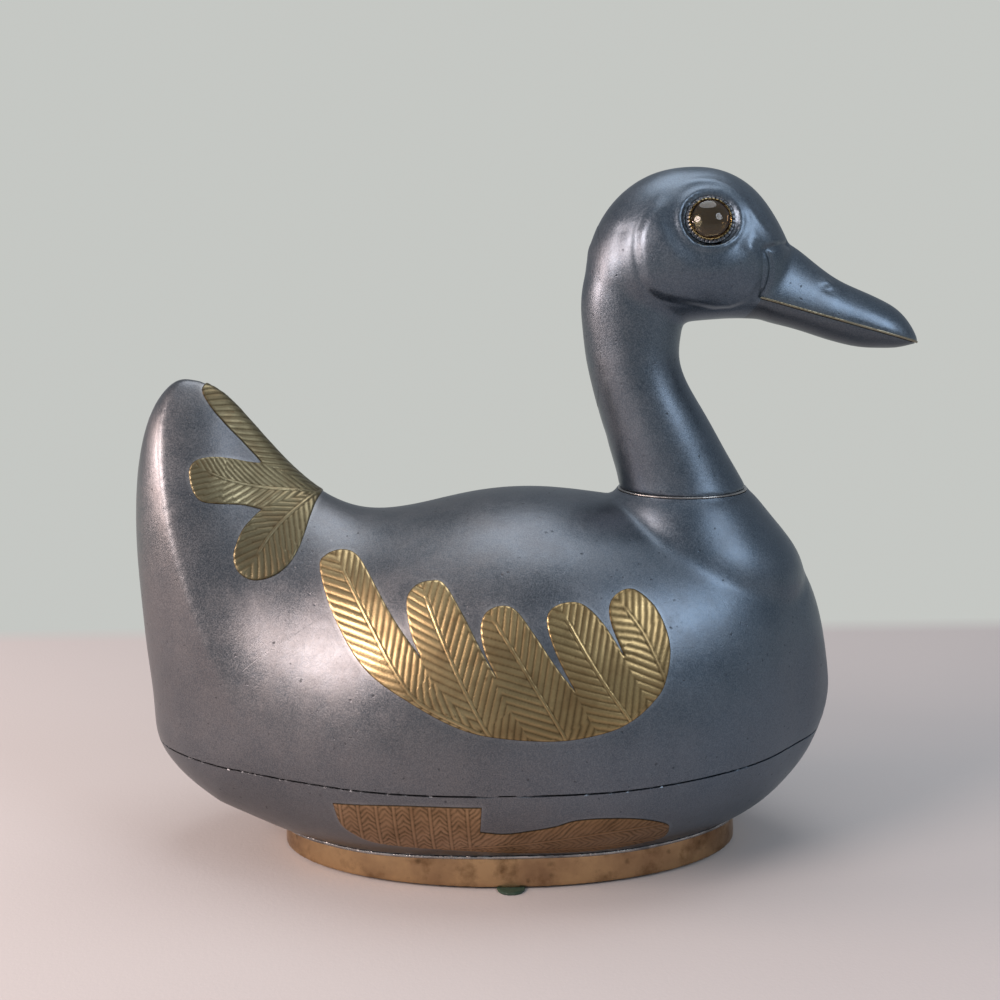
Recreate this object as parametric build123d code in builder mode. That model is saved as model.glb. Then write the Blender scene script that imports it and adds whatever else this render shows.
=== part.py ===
from build123d import *
from math import cos, hypot, pi, radians, sin, sqrt, tan
import os

# A lidded box in the shape of a duck: pewter shells with brass trim.
# Millimetres. +X points along the bill, +Y to the duck's left, +Z up from the table.

body_length = 253.3  # rear of the tail to the front of the breast
body_width = 134.4
body_height = 174.8  # table to the tip of the tail
tail_reach = 140.45  # origin to the rear of the tail
seam_height = 43.4  # table to the joint of lid and bowl
wall = 2.2  # pewter of the lid and the bowl
plate = 0.7  # brass plates laid on the pewter
overrun = 2.0  # how far a cut runs past what it cuts
seat_gap = 0.1  # between soldered pieces that meet on a curve
slip_gap = 0.3  # between the lid and the rim that it drops over

band_rise = 5.0  # rim above the seam
band_drop = 4.0  # rim below the seam
band_thickness = 1.2

pad_thickness = 1.0  # felt under the ring
pad_diameter = 10.0
ring_length = 169.6
ring_width = 91.4
ring_top = 15.0  # table to where the ring would end if the bowl didn't sit in it
ring_flare = 0.8  # how much wider the ring is at its foot
ring_thickness = 1.6
bowl_lift = 6.0  # table to the flat under the bowl
bead_thickness = 0.8  # solder between the neck and the lid
bead_proud = 0.4
bead_round_share = 0.9  # how much of what stands proud is rounded
foot_bead_width = 1.0
foot_bead_height = 1.2

collar_rise = 5.3  # collar above the body's ridge
neck_width = 45.8  # at the collar
neck_length = 60.0  # collar to the underside of the head
neck_wall = 2.6
head_length = 72.8
head_width = 45.2
head_height = 52.5
head_back = 35.8  # middle of the collar to the back of the head
cheek_length = 45.6
cheek_width = 47.0
bill_length = 62.4
bill_width = 30.0
bill_depth = 22.0
mouth_slope = 16.0  # degrees below level
strip_thickness = 0.8
strip_proud = 0.3

eye_diameter = 14.0
eye_dome = 3.2
eye_body = 3.0
eye_tilt = 17.0  # degrees above level
dish_radius = 9.8
dish_depth = 1.6
cup_radius = 8.0
cup_depth = 3.2
cup_floor = 0.6
bezel_radius = 8.8
bezel_height = 0.7
eye_gap = 0.05

wing_length = 117.6
wing_height = 55.2
wing_start = 69.9  # rear of the tail to the rear of the wing
wing_rise = 18.6  # seam to the wing's lowest edge
fan_length = 44.0
fan_height = 70.0
fan_start = 24.4  # rear of the tail to the tip of the middle feathers
fan_rise = 64.0  # seam to the lowest feather
leg_length = 113.4
leg_height = 24.2
leg_start = 74.9  # rear of the tail to the rear of the leg plate
leg_drop = 3.9  # seam to the plate's top edge

# The body is a stack of upright slices. Each row is one slice: place along the body, top, keel,
# half width, height of the widest point, and how much the flank is drawn in under the ridge.
slice_shares = [
    (-0.030, 1.007, 0.250, 0.500, 0.378, 0.42),
    (0.022, 1.004, 0.190, 0.548, 0.355, 0.42),
    (0.073, 1.000, 0.137, 0.585, 0.343, 0.47),
    (0.120, 0.981, 0.098, 0.609, 0.332, 0.57),
    (0.168, 0.912, 0.067, 0.662, 0.320, 0.66),
    (0.215, 0.831, 0.042, 0.744, 0.309, 0.60),
    (0.262, 0.767, 0.024, 0.818, 0.303, 0.42),
    (0.318, 0.727, 0.008, 0.899, 0.297, 0.20),
    (0.389, 0.727, 0.000, 0.967, 0.292, 0.05),
    (0.476, 0.753, -0.003, 1.000, 0.286, 0.00),
    (0.574, 0.763, -0.003, 1.000, 0.286, -0.04),
    (0.673, 0.747, 0.002, 0.961, 0.292, -0.03),
    (0.760, 0.729, 0.017, 0.856, 0.303, 0.00),
    (0.831, 0.714, 0.043, 0.722, 0.315, -0.03),
    (0.890, 0.688, 0.081, 0.558, 0.326, -0.05),
    (0.934, 0.638, 0.129, 0.379, 0.332, -0.07),
    (0.965, 0.566, 0.183, 0.253, 0.335, -0.08),
    (0.985, 0.479, 0.237, 0.141, 0.338, -0.08),
    (0.9965, 0.385, 0.286, 0.062, 0.338, 0.00),
]
breast_tip_share = 0.338  # height of the foremost point
ring_place_share = 0.5296  # middle of the foot ring along the body
neck_slice = 12  # the slice under the collar
least_slice_share = 3  # half width of the least slice, on how far it is drawn in
slice_steps = 7  # points in a quarter of a slice

# The rear face: height, how far it stands in from the rear, and its radius seen from above.
rear_face_shares = [
    (0.020, 0.200, 0.097),
    (0.080, 0.130, 0.097),
    (0.126, 0.088, 0.097),
    (0.172, 0.050, 0.097),
    (0.212, 0.027, 0.097),
    (0.248, 0.015, 0.097),
    (0.315, 0.011, 0.097),
    (0.430, 0.006, 0.097),
    (0.543, 0.002, 0.095),
    (0.630, 0.000, 0.092),
    (0.715, 0.001, 0.085),
    (0.790, 0.005, 0.072),
    (0.858, 0.013, 0.058),
    (0.915, 0.025, 0.043),
    (0.955, 0.039, 0.029),
    (0.984, 0.056, 0.019),
    (1.000, 0.082, 0.012),
]
rear_opening_share = 0.47  # length over which the rear face opens out
rear_side_shares = [-1, -0.75, -0.5, -0.32, -0.16, 0, 0.16, 0.32, 0.5, 0.75, 1]

# The root of the neck inside and above the breast: height from the seam to the collar, middle
# and reach along the body, and half width.
root_shares = [
    (0.40, 0.800, 0.130, 0.440),
    (0.52, 0.804, 0.145, 0.490),
    (0.64, 0.804, 0.154, 0.520),
    (0.74, 0.799, 0.149, 0.510),
    (0.845, 0.790, 0.132, 0.462),
    (0.945, 0.783, 0.110, 0.392),
    (1.00, 0.7817, 0.0900, 0.332),
]

# The neck: height, how far its middle leans back, reach along the body, and half width.
neck_shares = [
    (0.000, 0.000, 0.496, 0.482),
    (0.057, 0.026, 0.4825, 0.464),
    (0.205, 0.110, 0.453, 0.434),
    (0.352, 0.192, 0.428, 0.413),
    (0.497, 0.275, 0.400, 0.389),
    (0.640, 0.352, 0.371, 0.369),
    (0.783, 0.400, 0.362, 0.358),
    (0.923, 0.404, 0.380, 0.358),
    (1.065, 0.402, 0.397, 0.367),
    (1.207, 0.409, 0.375, 0.366),
    (1.340, 0.437, 0.314, 0.314),
    (1.473, 0.472, 0.218, 0.218),
]

# The head in upright slices: place, top, underside, half width, height of the widest point.
head_shares = [
    (0.0165, 0.379, -0.011, 0.133, 0.18),
    (0.058, 0.589, -0.107, 0.243, 0.23),
    (0.126, 0.747, -0.145, 0.343, 0.30),
    (0.223, 0.876, -0.107, 0.420, 0.36),
    (0.346, 0.964, -0.050, 0.471, 0.40),
    (0.484, 0.998, -0.021, 0.498, 0.42),
    (0.621, 0.987, -0.006, 0.500, 0.42),
    (0.738, 0.926, 0.000, 0.473, 0.42),
    (0.827, 0.830, -0.004, 0.416, 0.41),
    (0.896, 0.709, 0.004, 0.343, 0.39),
    (0.9505, 0.585, 0.046, 0.243, 0.37),
    (0.986, 0.484, 0.141, 0.144, 0.34),
]
head_back_share = 0.17  # height of the rearmost point
head_front_share = 0.33  # height of the foremost point
cheek_place_share = 0.587
cheek_height_share = 0.43
eye_place_share = 0.569
eye_height_share = 0.657
eye_side_share = 0.447

# The bill in upright slices: place, height over and depth under the mouth line, half width.
bill_start_share = 0.772  # place on the head where the bill's solid starts
mouth_share = 0.077  # place of the mouth's corner along the bill
mouth_height_share = 0.141  # its height on the head
bill_tip_share = 0.02  # tip above the mouth line
bill_pinch_share = 0.15
bill_shares = [
    (0.000, 0.891, 0.359, 0.500),
    (0.128, 0.964, 0.345, 0.493),
    (0.224, 1.000, 0.341, 0.470),
    (0.304, 0.927, 0.336, 0.443),
    (0.417, 0.768, 0.350, 0.417),
    (0.545, 0.627, 0.359, 0.403),
    (0.673, 0.564, 0.332, 0.403),
    (0.785, 0.509, 0.259, 0.387),
    (0.881, 0.418, 0.173, 0.330),
    (0.946, 0.264, 0.082, 0.233),
    (0.984, 0.114, 0.027, 0.113),
]

# Outlines seen from the side, as shares of each plate's length and height.
wing_outer_shares = [
    (0.866, 0.465), (0.832, 0.650), (0.833, 0.755), (0.869, 0.812), (0.913, 0.802),
    (0.968, 0.690), (0.999, 0.495), (0.981, 0.290), (0.943, 0.185), (0.885, 0.095),
    (0.812, 0.038), (0.685, 0.002), (0.531, 0.022), (0.413, 0.076), (0.273, 0.220),
    (0.142, 0.395), (0.047, 0.665), (0.000, 0.900), (0.016, 0.972), (0.062, 0.999),
    (0.106, 0.975), (0.146, 0.888), (0.225, 0.665), (0.303, 0.470),
]
wing_second_shares = [
    (0.303, 0.470), (0.275, 0.597), (0.261, 0.760), (0.283, 0.838), (0.326, 0.870),
    (0.368, 0.855), (0.420, 0.705), (0.475, 0.498), (0.512, 0.368),
]
wing_third_shares = [
    (0.512, 0.368), (0.480, 0.508), (0.470, 0.633), (0.485, 0.716), (0.527, 0.752),
    (0.569, 0.727), (0.619, 0.598), (0.679, 0.415), (0.727, 0.286),
]
wing_fourth_shares = [
    (0.727, 0.286), (0.679, 0.484), (0.655, 0.642), (0.662, 0.724), (0.703, 0.763),
    (0.756, 0.751), (0.812, 0.642), (0.866, 0.465),
]
fan_middle_shares = [
    (0.568, 0.510), (0.405, 0.548), (0.280, 0.578), (0.155, 0.590), (0.055, 0.574),
    (0.000, 0.514), (0.020, 0.438), (0.100, 0.388), (0.220, 0.368), (0.390, 0.352),
    (0.575, 0.336),
]
fan_lower_shares = [
    (0.575, 0.336), (0.425, 0.240), (0.370, 0.178), (0.363, 0.118), (0.400, 0.050),
    (0.470, 0.008), (0.563, 0.000), (0.675, 0.020), (0.780, 0.065), (0.858, 0.142),
    (0.905, 0.215), (0.935, 0.290), (0.965, 0.365),
]
fan_root_shares = [(0.965, 0.365), (1.000, 0.480), (1.000, 0.720), (0.568, 0.720)]
fan_ridge_share = 0.188  # half width of the feather along the ridge, on the fan's length
leg_rear_shares = [(0.000, 0.905), (0.210, 0.992), (0.440, 0.996)]
leg_step_share = (0.434, 0.560)
leg_front_shares = [
    (0.434, 0.560), (0.504, 0.515), (0.580, 0.568), (0.653, 0.640), (0.712, 0.735),
    (0.802, 0.740), (0.900, 0.660), (0.984, 0.478), (1.000, 0.330), (0.985, 0.120),
    (0.914, 0.065), (0.798, 0.000), (0.581, 0.014), (0.380, 0.110), (0.226, 0.150),
    (0.117, 0.195), (0.058, 0.330), (0.017, 0.535), (0.000, 0.905),
]

collar_height = slice_shares[neck_slice][1] * body_height + collar_rise
collar_x = root_shares[-1][1] * body_length - tail_reach
neck_foot = collar_height + bead_thickness
head_x = collar_x - head_back
head_base = neck_foot + neck_length
bill_x = head_x + bill_start_share * head_length
mouth_x = bill_x + mouth_share * bill_length
mouth_height = head_base + mouth_height_share * head_height
ring_x = ring_place_share * body_length - tail_reach


def slice_points(half_width, top, keel, widest, pinch, grow):
    """Points round one slice, from the ridge down the left side and up the right."""
    side = []
    for i in range(2 * slice_steps + 1):
        turn = pi / 2 * (1 - i / slice_steps)
        high = sin(turn)
        reach = top - widest if high > 0 else widest - keel
        drawn = 1 - pinch * high**2 if high > 0 else 1
        side.append((half_width * cos(turn) * drawn, widest + reach * high))
    grown = [(0, top + grow)]
    for before, (y, z), after in zip(side, side[1:-1], side[2:]):
        dy = after[0] - before[0]
        dz = after[1] - before[1]
        size = hypot(dy, dz)
        grown.append((y - dz / size * grow, z + dy / size * grow))
    grown.append((0, keel - grow))
    return grown + [(-y, z) for y, z in reversed(grown[1:-1])]


def slice_face(x, points):
    """One upright slice of the duck, square to its length."""
    with BuildSketch(Plane(origin=(x, 0, 0), x_dir=(0, 1, 0), z_dir=(1, 0, 0))) as cut:
        with BuildLine():
            Spline(*points, periodic=True)
        make_face()
    return cut.sketch


def oval_face(z, x, reach, half_width):
    """One level oval."""
    with BuildSketch(Plane.XY.offset(z)) as cut:
        with Locations((x, 0)):
            Ellipse(reach, half_width)
    return cut.sketch


def body_egg(grow):
    """The whole body without the neck's root or its rear face, grown by a distance."""
    with BuildPart() as egg:
        faces = []
        for place, top, keel, width, widest, pinch in slice_shares:
            if width * body_width / 2 < -least_slice_share * grow:
                continue  # too small at the breast's tip to be drawn in
            x = place * body_length - tail_reach + grow * (2 * place - 1)
            points = slice_points(
                width * body_width / 2,
                top * body_height,
                keel * body_height,
                widest * body_height,
                pinch,
                grow,
            )
            faces.append(slice_face(x, points))
        tip = Vertex(body_length - tail_reach + grow, 0, breast_tip_share * body_height)
        loft(sections=faces + [tip])
    return egg.part


def rear_block(grow):
    """Everything ahead of the rounded rear face, grown by a distance."""
    opening = rear_opening_share * body_length
    with BuildPart() as block:
        for height, inset, radius in rear_face_shares:
            rear = inset * body_length - tail_reach - grow
            reach = sqrt(2 * radius * body_length * opening)
            with BuildSketch(Plane.XY.offset(height * (body_height + grow))):
                with BuildLine():
                    curve = [(rear + opening * side**2, reach * side) for side in rear_side_shares]
                    Spline(*curve)
                    Polyline(curve[-1], (body_length, reach), (body_length, -reach), curve[0])
                make_face()
        loft()
    return block.part


def body_skin(grow):
    """The whole body up to its ridge, grown by a distance."""
    with BuildPart() as skin:
        add(body_egg(grow))
        add(rear_block(grow), mode=Mode.INTERSECT)
    return skin.part


def neck_root(grow, rise):
    """The root of the neck from inside the breast to the collar, and on by a rise."""
    with BuildPart() as root:
        faces = []
        for height, x, reach, width in root_shares:
            z = seam_height + height * (collar_height - seam_height)
            middle = x * body_length - tail_reach
            oval = (reach * body_length + grow, width * body_width / 2 + grow)
            faces.append(oval_face(z, middle, *oval))
        loft(sections=faces)
        if rise:
            extrude(oval_face(collar_height, middle, *oval), amount=rise)
    return root.part


def neck_stem(grow, drop):
    """The neck from its foot to inside the head, and down by a drop."""
    with BuildPart() as stem:
        faces = []
        for height, lean, reach, width in neck_shares:
            z = neck_foot + height * neck_length
            middle = collar_x - lean * neck_width
            faces.append(oval_face(z, middle, reach * neck_width + grow, width * neck_width + grow))
        loft(sections=faces)
        if drop:
            extrude(faces[0], amount=-drop)
    return stem.part


def head_egg(grow):
    """The head without its cheeks, grown by a distance."""
    with BuildPart() as egg:
        faces = []
        for place, top, under, width, widest in head_shares:
            x = head_x + place * head_length + grow * (2 * place - 1)
            points = slice_points(
                width * head_width,
                head_base + top * head_height,
                head_base + under * head_height,
                head_base + widest * head_height,
                0,
                grow,
            )
            faces.append(slice_face(x, points))
        back = Vertex(head_x - grow, 0, head_base + head_back_share * head_height)
        front = Vertex(head_x + head_length + grow, 0, head_base + head_front_share * head_height)
        loft(sections=[back] + faces + [front])
    return egg.part


def cheeks(grow):
    """The raised cheeks, one flattened ball through the head."""
    middle = Vector(
        head_x + cheek_place_share * head_length, 0, head_base + cheek_height_share * head_height
    )
    with BuildPart() as ball:
        with BuildSketch(Plane(origin=middle, x_dir=(1, 0, 0), z_dir=(0, 0, 1))):
            Ellipse(cheek_length / 2 + grow, cheek_width / 2 + grow)
            split(bisect_by=Plane.YZ)
        revolve(axis=Axis(middle, (0, 1, 0)))
    return ball.part


def head_skin(grow, drop):
    """Neck, head and cheeks in one, grown by a distance, with the foot lowered by a drop."""
    with BuildPart() as skin:
        add(neck_stem(grow, drop))
        add(head_egg(grow))
        add(cheeks(grow))
    return skin.part


def mouth_line(x):
    """Height of the mouth at a place along the bill."""
    return mouth_height - (x - mouth_x) * tan(radians(mouth_slope))


def bill_egg(grow):
    """The whole bill from inside the head to its tip, grown by a distance."""
    with BuildPart() as egg:
        faces = []
        for place, over, under, width in bill_shares:
            x = bill_x + place * bill_length
            points = slice_points(
                width * bill_width,
                mouth_line(x) + over * bill_depth,
                mouth_line(x) - under * bill_depth,
                mouth_line(x),
                bill_pinch_share,
                grow,
            )
            faces.append(slice_face(x, points))
        tip_x = bill_x + bill_length
        tip = Vertex(tip_x + grow, 0, mouth_line(tip_x) + bill_tip_share * bill_depth)
        loft(sections=faces + [tip])
    return egg.part


def side_points(shares, start, length, foot, height):
    """Places seen from the side, from shares of a plate's length and height."""
    return [(start + x * length, foot + z * height) for x, z in shares]


def plate_on_skin(outline):
    """A brass plate that follows the pewter, cut to an outline seen from the right side."""
    with BuildPart() as blank:
        extrude(outline, amount=body_width)
        add(plate_skin, mode=Mode.INTERSECT)
        add(skin, mode=Mode.SUBTRACT)
    return blank.part


def upper_part(piece, height):
    """What lies over a level."""
    with BuildPart() as kept:
        add(piece)
        split(bisect_by=Plane.XY.offset(height), keep=Keep.TOP)
    return kept.part


skin = body_skin(0)
hollow = body_skin(-wall)
plate_skin = body_skin(plate)
side_plane = Plane(origin=(0, 0, 0), x_dir=(1, 0, 0), z_dir=(0, -1, 0))
seam_plane = Plane.XY.offset(seam_height)

# Base: the bowl, its rim, the brass ring that it stands on, and the felt under the ring.
bowl_hollow = upper_part(hollow, bowl_lift + wall)
with BuildPart() as base_bowl:
    add(skin)
    split(bisect_by=seam_plane, keep=Keep.BOTTOM)
    split(bisect_by=Plane.XY.offset(bowl_lift), keep=Keep.TOP)
    add(bowl_hollow, mode=Mode.SUBTRACT)

band_outer = section(body_skin(-wall - slip_gap), section_by=seam_plane)
band_inner = section(body_skin(-wall - slip_gap - band_thickness), section_by=seam_plane)
with BuildPart() as base_locating_band:
    extrude(band_outer, amount=-band_drop)
    add(hollow, mode=Mode.INTERSECT)
    extrude(band_outer, amount=band_rise)
    extrude(band_inner, amount=band_rise, mode=Mode.SUBTRACT)
    extrude(band_inner, amount=-band_drop, mode=Mode.SUBTRACT)


def ring_oval(grow):
    """The foot ring's outer form, grown by a distance."""
    foot = oval_face(pad_thickness, ring_x, ring_length / 2 + grow, ring_width / 2 + grow)
    narrowed = grow - ring_flare
    top = oval_face(ring_top, ring_x, ring_length / 2 + narrowed, ring_width / 2 + narrowed)
    with BuildPart() as oval:
        loft(sections=[foot, top])
    return oval.part


with BuildPart() as foot_ring:
    add(ring_oval(0))
    add(ring_oval(-ring_thickness), mode=Mode.SUBTRACT)
    with Locations((0, 0, -seat_gap)):
        add(skin, mode=Mode.SUBTRACT)

with BuildPart() as foot_solder_bead:
    add(ring_oval(foot_bead_width))
    with Locations((0, 0, -foot_bead_height)):
        add(skin, mode=Mode.INTERSECT)
    add(ring_oval(seat_gap), mode=Mode.SUBTRACT)
    with Locations((0, 0, -seat_gap)):
        add(skin, mode=Mode.SUBTRACT)

pad_side = ring_width / 2 - ring_thickness / 2
pad_end = ring_length / 2 - pad_diameter / 2
with BuildPart() as felt_pads:
    with BuildSketch():
        with Locations((ring_x, pad_side), (ring_x, -pad_side)):
            Circle(pad_diameter / 2)
        with Locations((ring_x + pad_end, 0), (ring_x - pad_end, 0)):
            Circle(pad_diameter / 2)
    extrude(amount=pad_thickness)

leg_place = (leg_start - tail_reach, leg_length, seam_height - leg_drop - leg_height, leg_height)
with BuildSketch(side_plane) as leg_outline:
    with BuildLine():
        Spline(*side_points(leg_rear_shares, *leg_place))
        Line(*side_points([leg_rear_shares[-1], leg_front_shares[0]], *leg_place))
        Spline(*side_points(leg_front_shares, *leg_place))
    make_face()
with BuildPart() as leg_plate_right:
    add(plate_on_skin(leg_outline.sketch))
with BuildPart() as leg_plate_left:
    mirror(leg_plate_right.part, about=Plane.XZ)

# Lid: the back with its wings and tail fan, the neck with the head, the bill and the eyes.
collar_hole = neck_root(-wall, overrun)
with BuildPart() as lid_shell:
    add(skin)
    add(neck_root(0, 0))
    split(bisect_by=seam_plane, keep=Keep.TOP)
    add(hollow, mode=Mode.SUBTRACT)
    add(collar_hole, mode=Mode.SUBTRACT)

wing_place = (wing_start - tail_reach, wing_length, seam_height + wing_rise, wing_height)
with BuildSketch(side_plane) as wing_outline:
    with BuildLine():
        Spline(*side_points(wing_outer_shares, *wing_place))
        Spline(*side_points(wing_second_shares, *wing_place))
        Spline(*side_points(wing_third_shares, *wing_place))
        Spline(*side_points(wing_fourth_shares, *wing_place))
    make_face()
with BuildPart() as wing_plate_right:
    add(plate_on_skin(wing_outline.sketch))
with BuildPart() as wing_plate_left:
    mirror(wing_plate_right.part, about=Plane.XZ)

fan_x = fan_start - tail_reach
fan_foot = seam_height + fan_rise
fan_place = (fan_x, fan_length, fan_foot, fan_height)
fan_top = fan_root_shares + fan_middle_shares[:1]
ridge_radius = fan_ridge_share * fan_length
with BuildPart() as tail_fan_plate:
    with BuildSketch(side_plane):
        with BuildLine():
            Spline(*side_points(fan_middle_shares, *fan_place))
            Spline(*side_points(fan_lower_shares, *fan_place))
            Polyline(*side_points(fan_top, *fan_place))
        make_face()
    extrude(amount=body_width / 2, both=True)
    with BuildSketch(Plane.XY.offset(fan_foot)):
        with Locations((fan_x + ridge_radius, 0)):
            Circle(ridge_radius)
        with Locations((fan_x + (ridge_radius + fan_length) / 2, 0)):
            Rectangle(fan_length - ridge_radius, 2 * ridge_radius)
    extrude(amount=fan_height)
    add(plate_skin, mode=Mode.INTERSECT)
    add(skin, mode=Mode.SUBTRACT)

collar_reach = root_shares[-1][2] * body_length
collar_half = root_shares[-1][3] * body_width / 2
with BuildPart() as neck_solder_bead:
    extrude(
        oval_face(collar_height, collar_x, collar_reach + bead_proud, collar_half + bead_proud),
        amount=bead_thickness,
    )
    fillet(neck_solder_bead.edges(), bead_round_share * bead_proud)
    extrude(
        oval_face(collar_height, collar_x, collar_reach - wall, collar_half - wall),
        amount=bead_thickness,
        mode=Mode.SUBTRACT,
    )

eye_x = head_x + eye_place_share * head_length
eye_height = head_base + eye_height_share * head_height
eye_out = (0, -cos(radians(eye_tilt)), sin(radians(eye_tilt)))
eye_surface = Plane(
    origin=(eye_x, -eye_side_share * head_width, eye_height), x_dir=(1, 0, 0), z_dir=eye_out
)
dish_plane = eye_surface.offset(-dish_depth)
with BuildPart() as eye_cut:
    with BuildSketch(dish_plane):
        Circle(dish_radius)
    extrude(amount=dish_depth + overrun)
    with BuildSketch(dish_plane):
        Circle(cup_radius + eye_gap)
    extrude(amount=-cup_depth - overrun)
    mirror(about=Plane.XZ)

with BuildPart() as neck_shell:
    add(head_skin(0, 0))
    add(head_skin(-neck_wall, overrun), mode=Mode.SUBTRACT)
    add(eye_cut.part, mode=Mode.SUBTRACT)

with BuildPart() as eye_cup_right:
    with BuildSketch(dish_plane):
        Circle(bezel_radius)
    extrude(amount=bezel_height)
    with BuildSketch(dish_plane):
        Circle(cup_radius)
    extrude(amount=-cup_depth)
    with BuildSketch(dish_plane.offset(cup_floor - cup_depth)):
        Circle(eye_diameter / 2 + eye_gap)
    extrude(amount=cup_depth + bezel_height, mode=Mode.SUBTRACT)
with BuildPart() as eye_cup_left:
    mirror(eye_cup_right.part, about=Plane.XZ)

glass_foot = dish_plane.offset(cup_floor - cup_depth)
glass_side = Plane(origin=glass_foot.origin, x_dir=glass_foot.x_dir, z_dir=-glass_foot.y_dir)
glass_edge = (eye_diameter / 2, eye_body)
glass_apex = (0, eye_body + eye_dome)
glass_bow = (eye_diameter**2 / 4 + eye_dome**2) / (2 * eye_dome)  # radius of the dome
with BuildPart() as eye_glass_right:
    with BuildSketch(glass_side):
        with BuildLine():
            Polyline(glass_apex, (0, 0), (eye_diameter / 2, 0), glass_edge)
            RadiusArc(glass_edge, glass_apex, -glass_bow)
        make_face()
    revolve(axis=Axis(glass_foot.origin, glass_foot.z_dir))
with BuildPart() as eye_glass_left:
    mirror(eye_glass_right.part, about=Plane.XZ)

head_clear = head_skin(seat_gap, 0)
mouth_plane = Plane(
    origin=(mouth_x, 0, mouth_height),
    x_dir=(cos(radians(mouth_slope)), 0, -sin(radians(mouth_slope))),
    z_dir=(sin(radians(mouth_slope)), 0, cos(radians(mouth_slope))),
)
strip_top = mouth_plane.offset(strip_thickness / 2)
strip_under = mouth_plane.offset(-strip_thickness / 2)
with BuildPart() as upper_bill:
    add(bill_egg(0))
    split(bisect_by=strip_top, keep=Keep.TOP)
    add(head_clear, mode=Mode.SUBTRACT)
with BuildPart() as lower_bill:
    add(bill_egg(0))
    split(bisect_by=strip_under, keep=Keep.BOTTOM)
    add(head_clear, mode=Mode.SUBTRACT)
with BuildPart() as bill_strip:
    add(bill_egg(strip_proud))
    split(bisect_by=strip_under, keep=Keep.TOP)
    split(bisect_by=strip_top, keep=Keep.BOTTOM)
    add(head_clear, mode=Mode.SUBTRACT)

base_bowl.part.label = "base_bowl"
base_locating_band.part.label = "base_locating_band"
foot_ring.part.label = "foot_ring"
foot_solder_bead.part.label = "foot_solder_bead"
felt_pads.part.label = "felt_pads"
leg_plate_right.part.label = "leg_plate_right"
leg_plate_left.part.label = "leg_plate_left"
lid_shell.part.label = "lid_shell"
wing_plate_right.part.label = "wing_plate_right"
wing_plate_left.part.label = "wing_plate_left"
tail_fan_plate.part.label = "tail_fan_plate"
neck_solder_bead.part.label = "neck_solder_bead"
neck_shell.part.label = "neck_shell"
upper_bill.part.label = "upper_bill"
lower_bill.part.label = "lower_bill"
bill_strip.part.label = "bill_strip"
eye_cup_right.part.label = "eye_cup_right"
eye_cup_left.part.label = "eye_cup_left"
eye_glass_right.part.label = "eye_glass_right"
eye_glass_left.part.label = "eye_glass_left"

os.makedirs("parts", exist_ok=True)
export_step(base_bowl.part, "parts/base_bowl.step")
export_step(base_locating_band.part, "parts/base_locating_band.step")
export_step(foot_ring.part, "parts/foot_ring.step")
export_step(foot_solder_bead.part, "parts/foot_solder_bead.step")
export_step(felt_pads.part, "parts/felt_pads.step")
export_step(leg_plate_right.part, "parts/leg_plate_right.step")
export_step(leg_plate_left.part, "parts/leg_plate_left.step")
export_step(lid_shell.part, "parts/lid_shell.step")
export_step(wing_plate_right.part, "parts/wing_plate_right.step")
export_step(wing_plate_left.part, "parts/wing_plate_left.step")
export_step(tail_fan_plate.part, "parts/tail_fan_plate.step")
export_step(neck_solder_bead.part, "parts/neck_solder_bead.step")
export_step(neck_shell.part, "parts/neck_shell.step")
export_step(upper_bill.part, "parts/upper_bill.step")
export_step(lower_bill.part, "parts/lower_bill.step")
export_step(bill_strip.part, "parts/bill_strip.step")
export_step(eye_cup_right.part, "parts/eye_cup_right.step")
export_step(eye_cup_left.part, "parts/eye_cup_left.step")
export_step(eye_glass_right.part, "parts/eye_glass_right.step")
export_step(eye_glass_left.part, "parts/eye_glass_left.step")
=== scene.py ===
import math

import bmesh
import bpy
import numpy as np
from mathutils import Matrix, Vector
from mathutils.bvhtree import BVHTree
from mathutils.geometry import delaunay_2d_cdt


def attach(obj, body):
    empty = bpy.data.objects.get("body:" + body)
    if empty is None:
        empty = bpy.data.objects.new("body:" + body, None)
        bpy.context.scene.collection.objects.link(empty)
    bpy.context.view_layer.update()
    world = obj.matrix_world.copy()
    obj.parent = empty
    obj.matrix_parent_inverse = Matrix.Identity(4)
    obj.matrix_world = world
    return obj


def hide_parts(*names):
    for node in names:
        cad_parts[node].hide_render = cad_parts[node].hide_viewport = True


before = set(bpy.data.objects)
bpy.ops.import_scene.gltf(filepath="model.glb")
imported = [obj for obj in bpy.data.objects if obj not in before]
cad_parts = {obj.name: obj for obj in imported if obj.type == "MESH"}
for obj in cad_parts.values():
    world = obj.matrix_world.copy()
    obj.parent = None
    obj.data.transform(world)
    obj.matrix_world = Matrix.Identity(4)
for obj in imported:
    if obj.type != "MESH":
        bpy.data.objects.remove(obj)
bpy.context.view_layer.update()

# A lidded duck box: pewter shells with brass plates. Tables are in millimetres, mm makes them metres.
mm = 0.001
weld = 1e-6  # metres: points closer than this become one
smoothFactor = 0.5
everywhere = -1000.0
print("frame loaded")


def pickOnly(obj):
    bpy.ops.object.select_all(action="DESELECT")
    obj.select_set(True)
    bpy.context.view_layer.objects.active = obj


def editAll(obj):
    pickOnly(obj)
    bpy.ops.object.mode_set(mode="EDIT")
    bpy.ops.mesh.select_mode(type="VERT")
    bpy.ops.mesh.select_all(action="SELECT")


def leaveEdit():
    bpy.ops.object.mode_set(mode="OBJECT")


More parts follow.
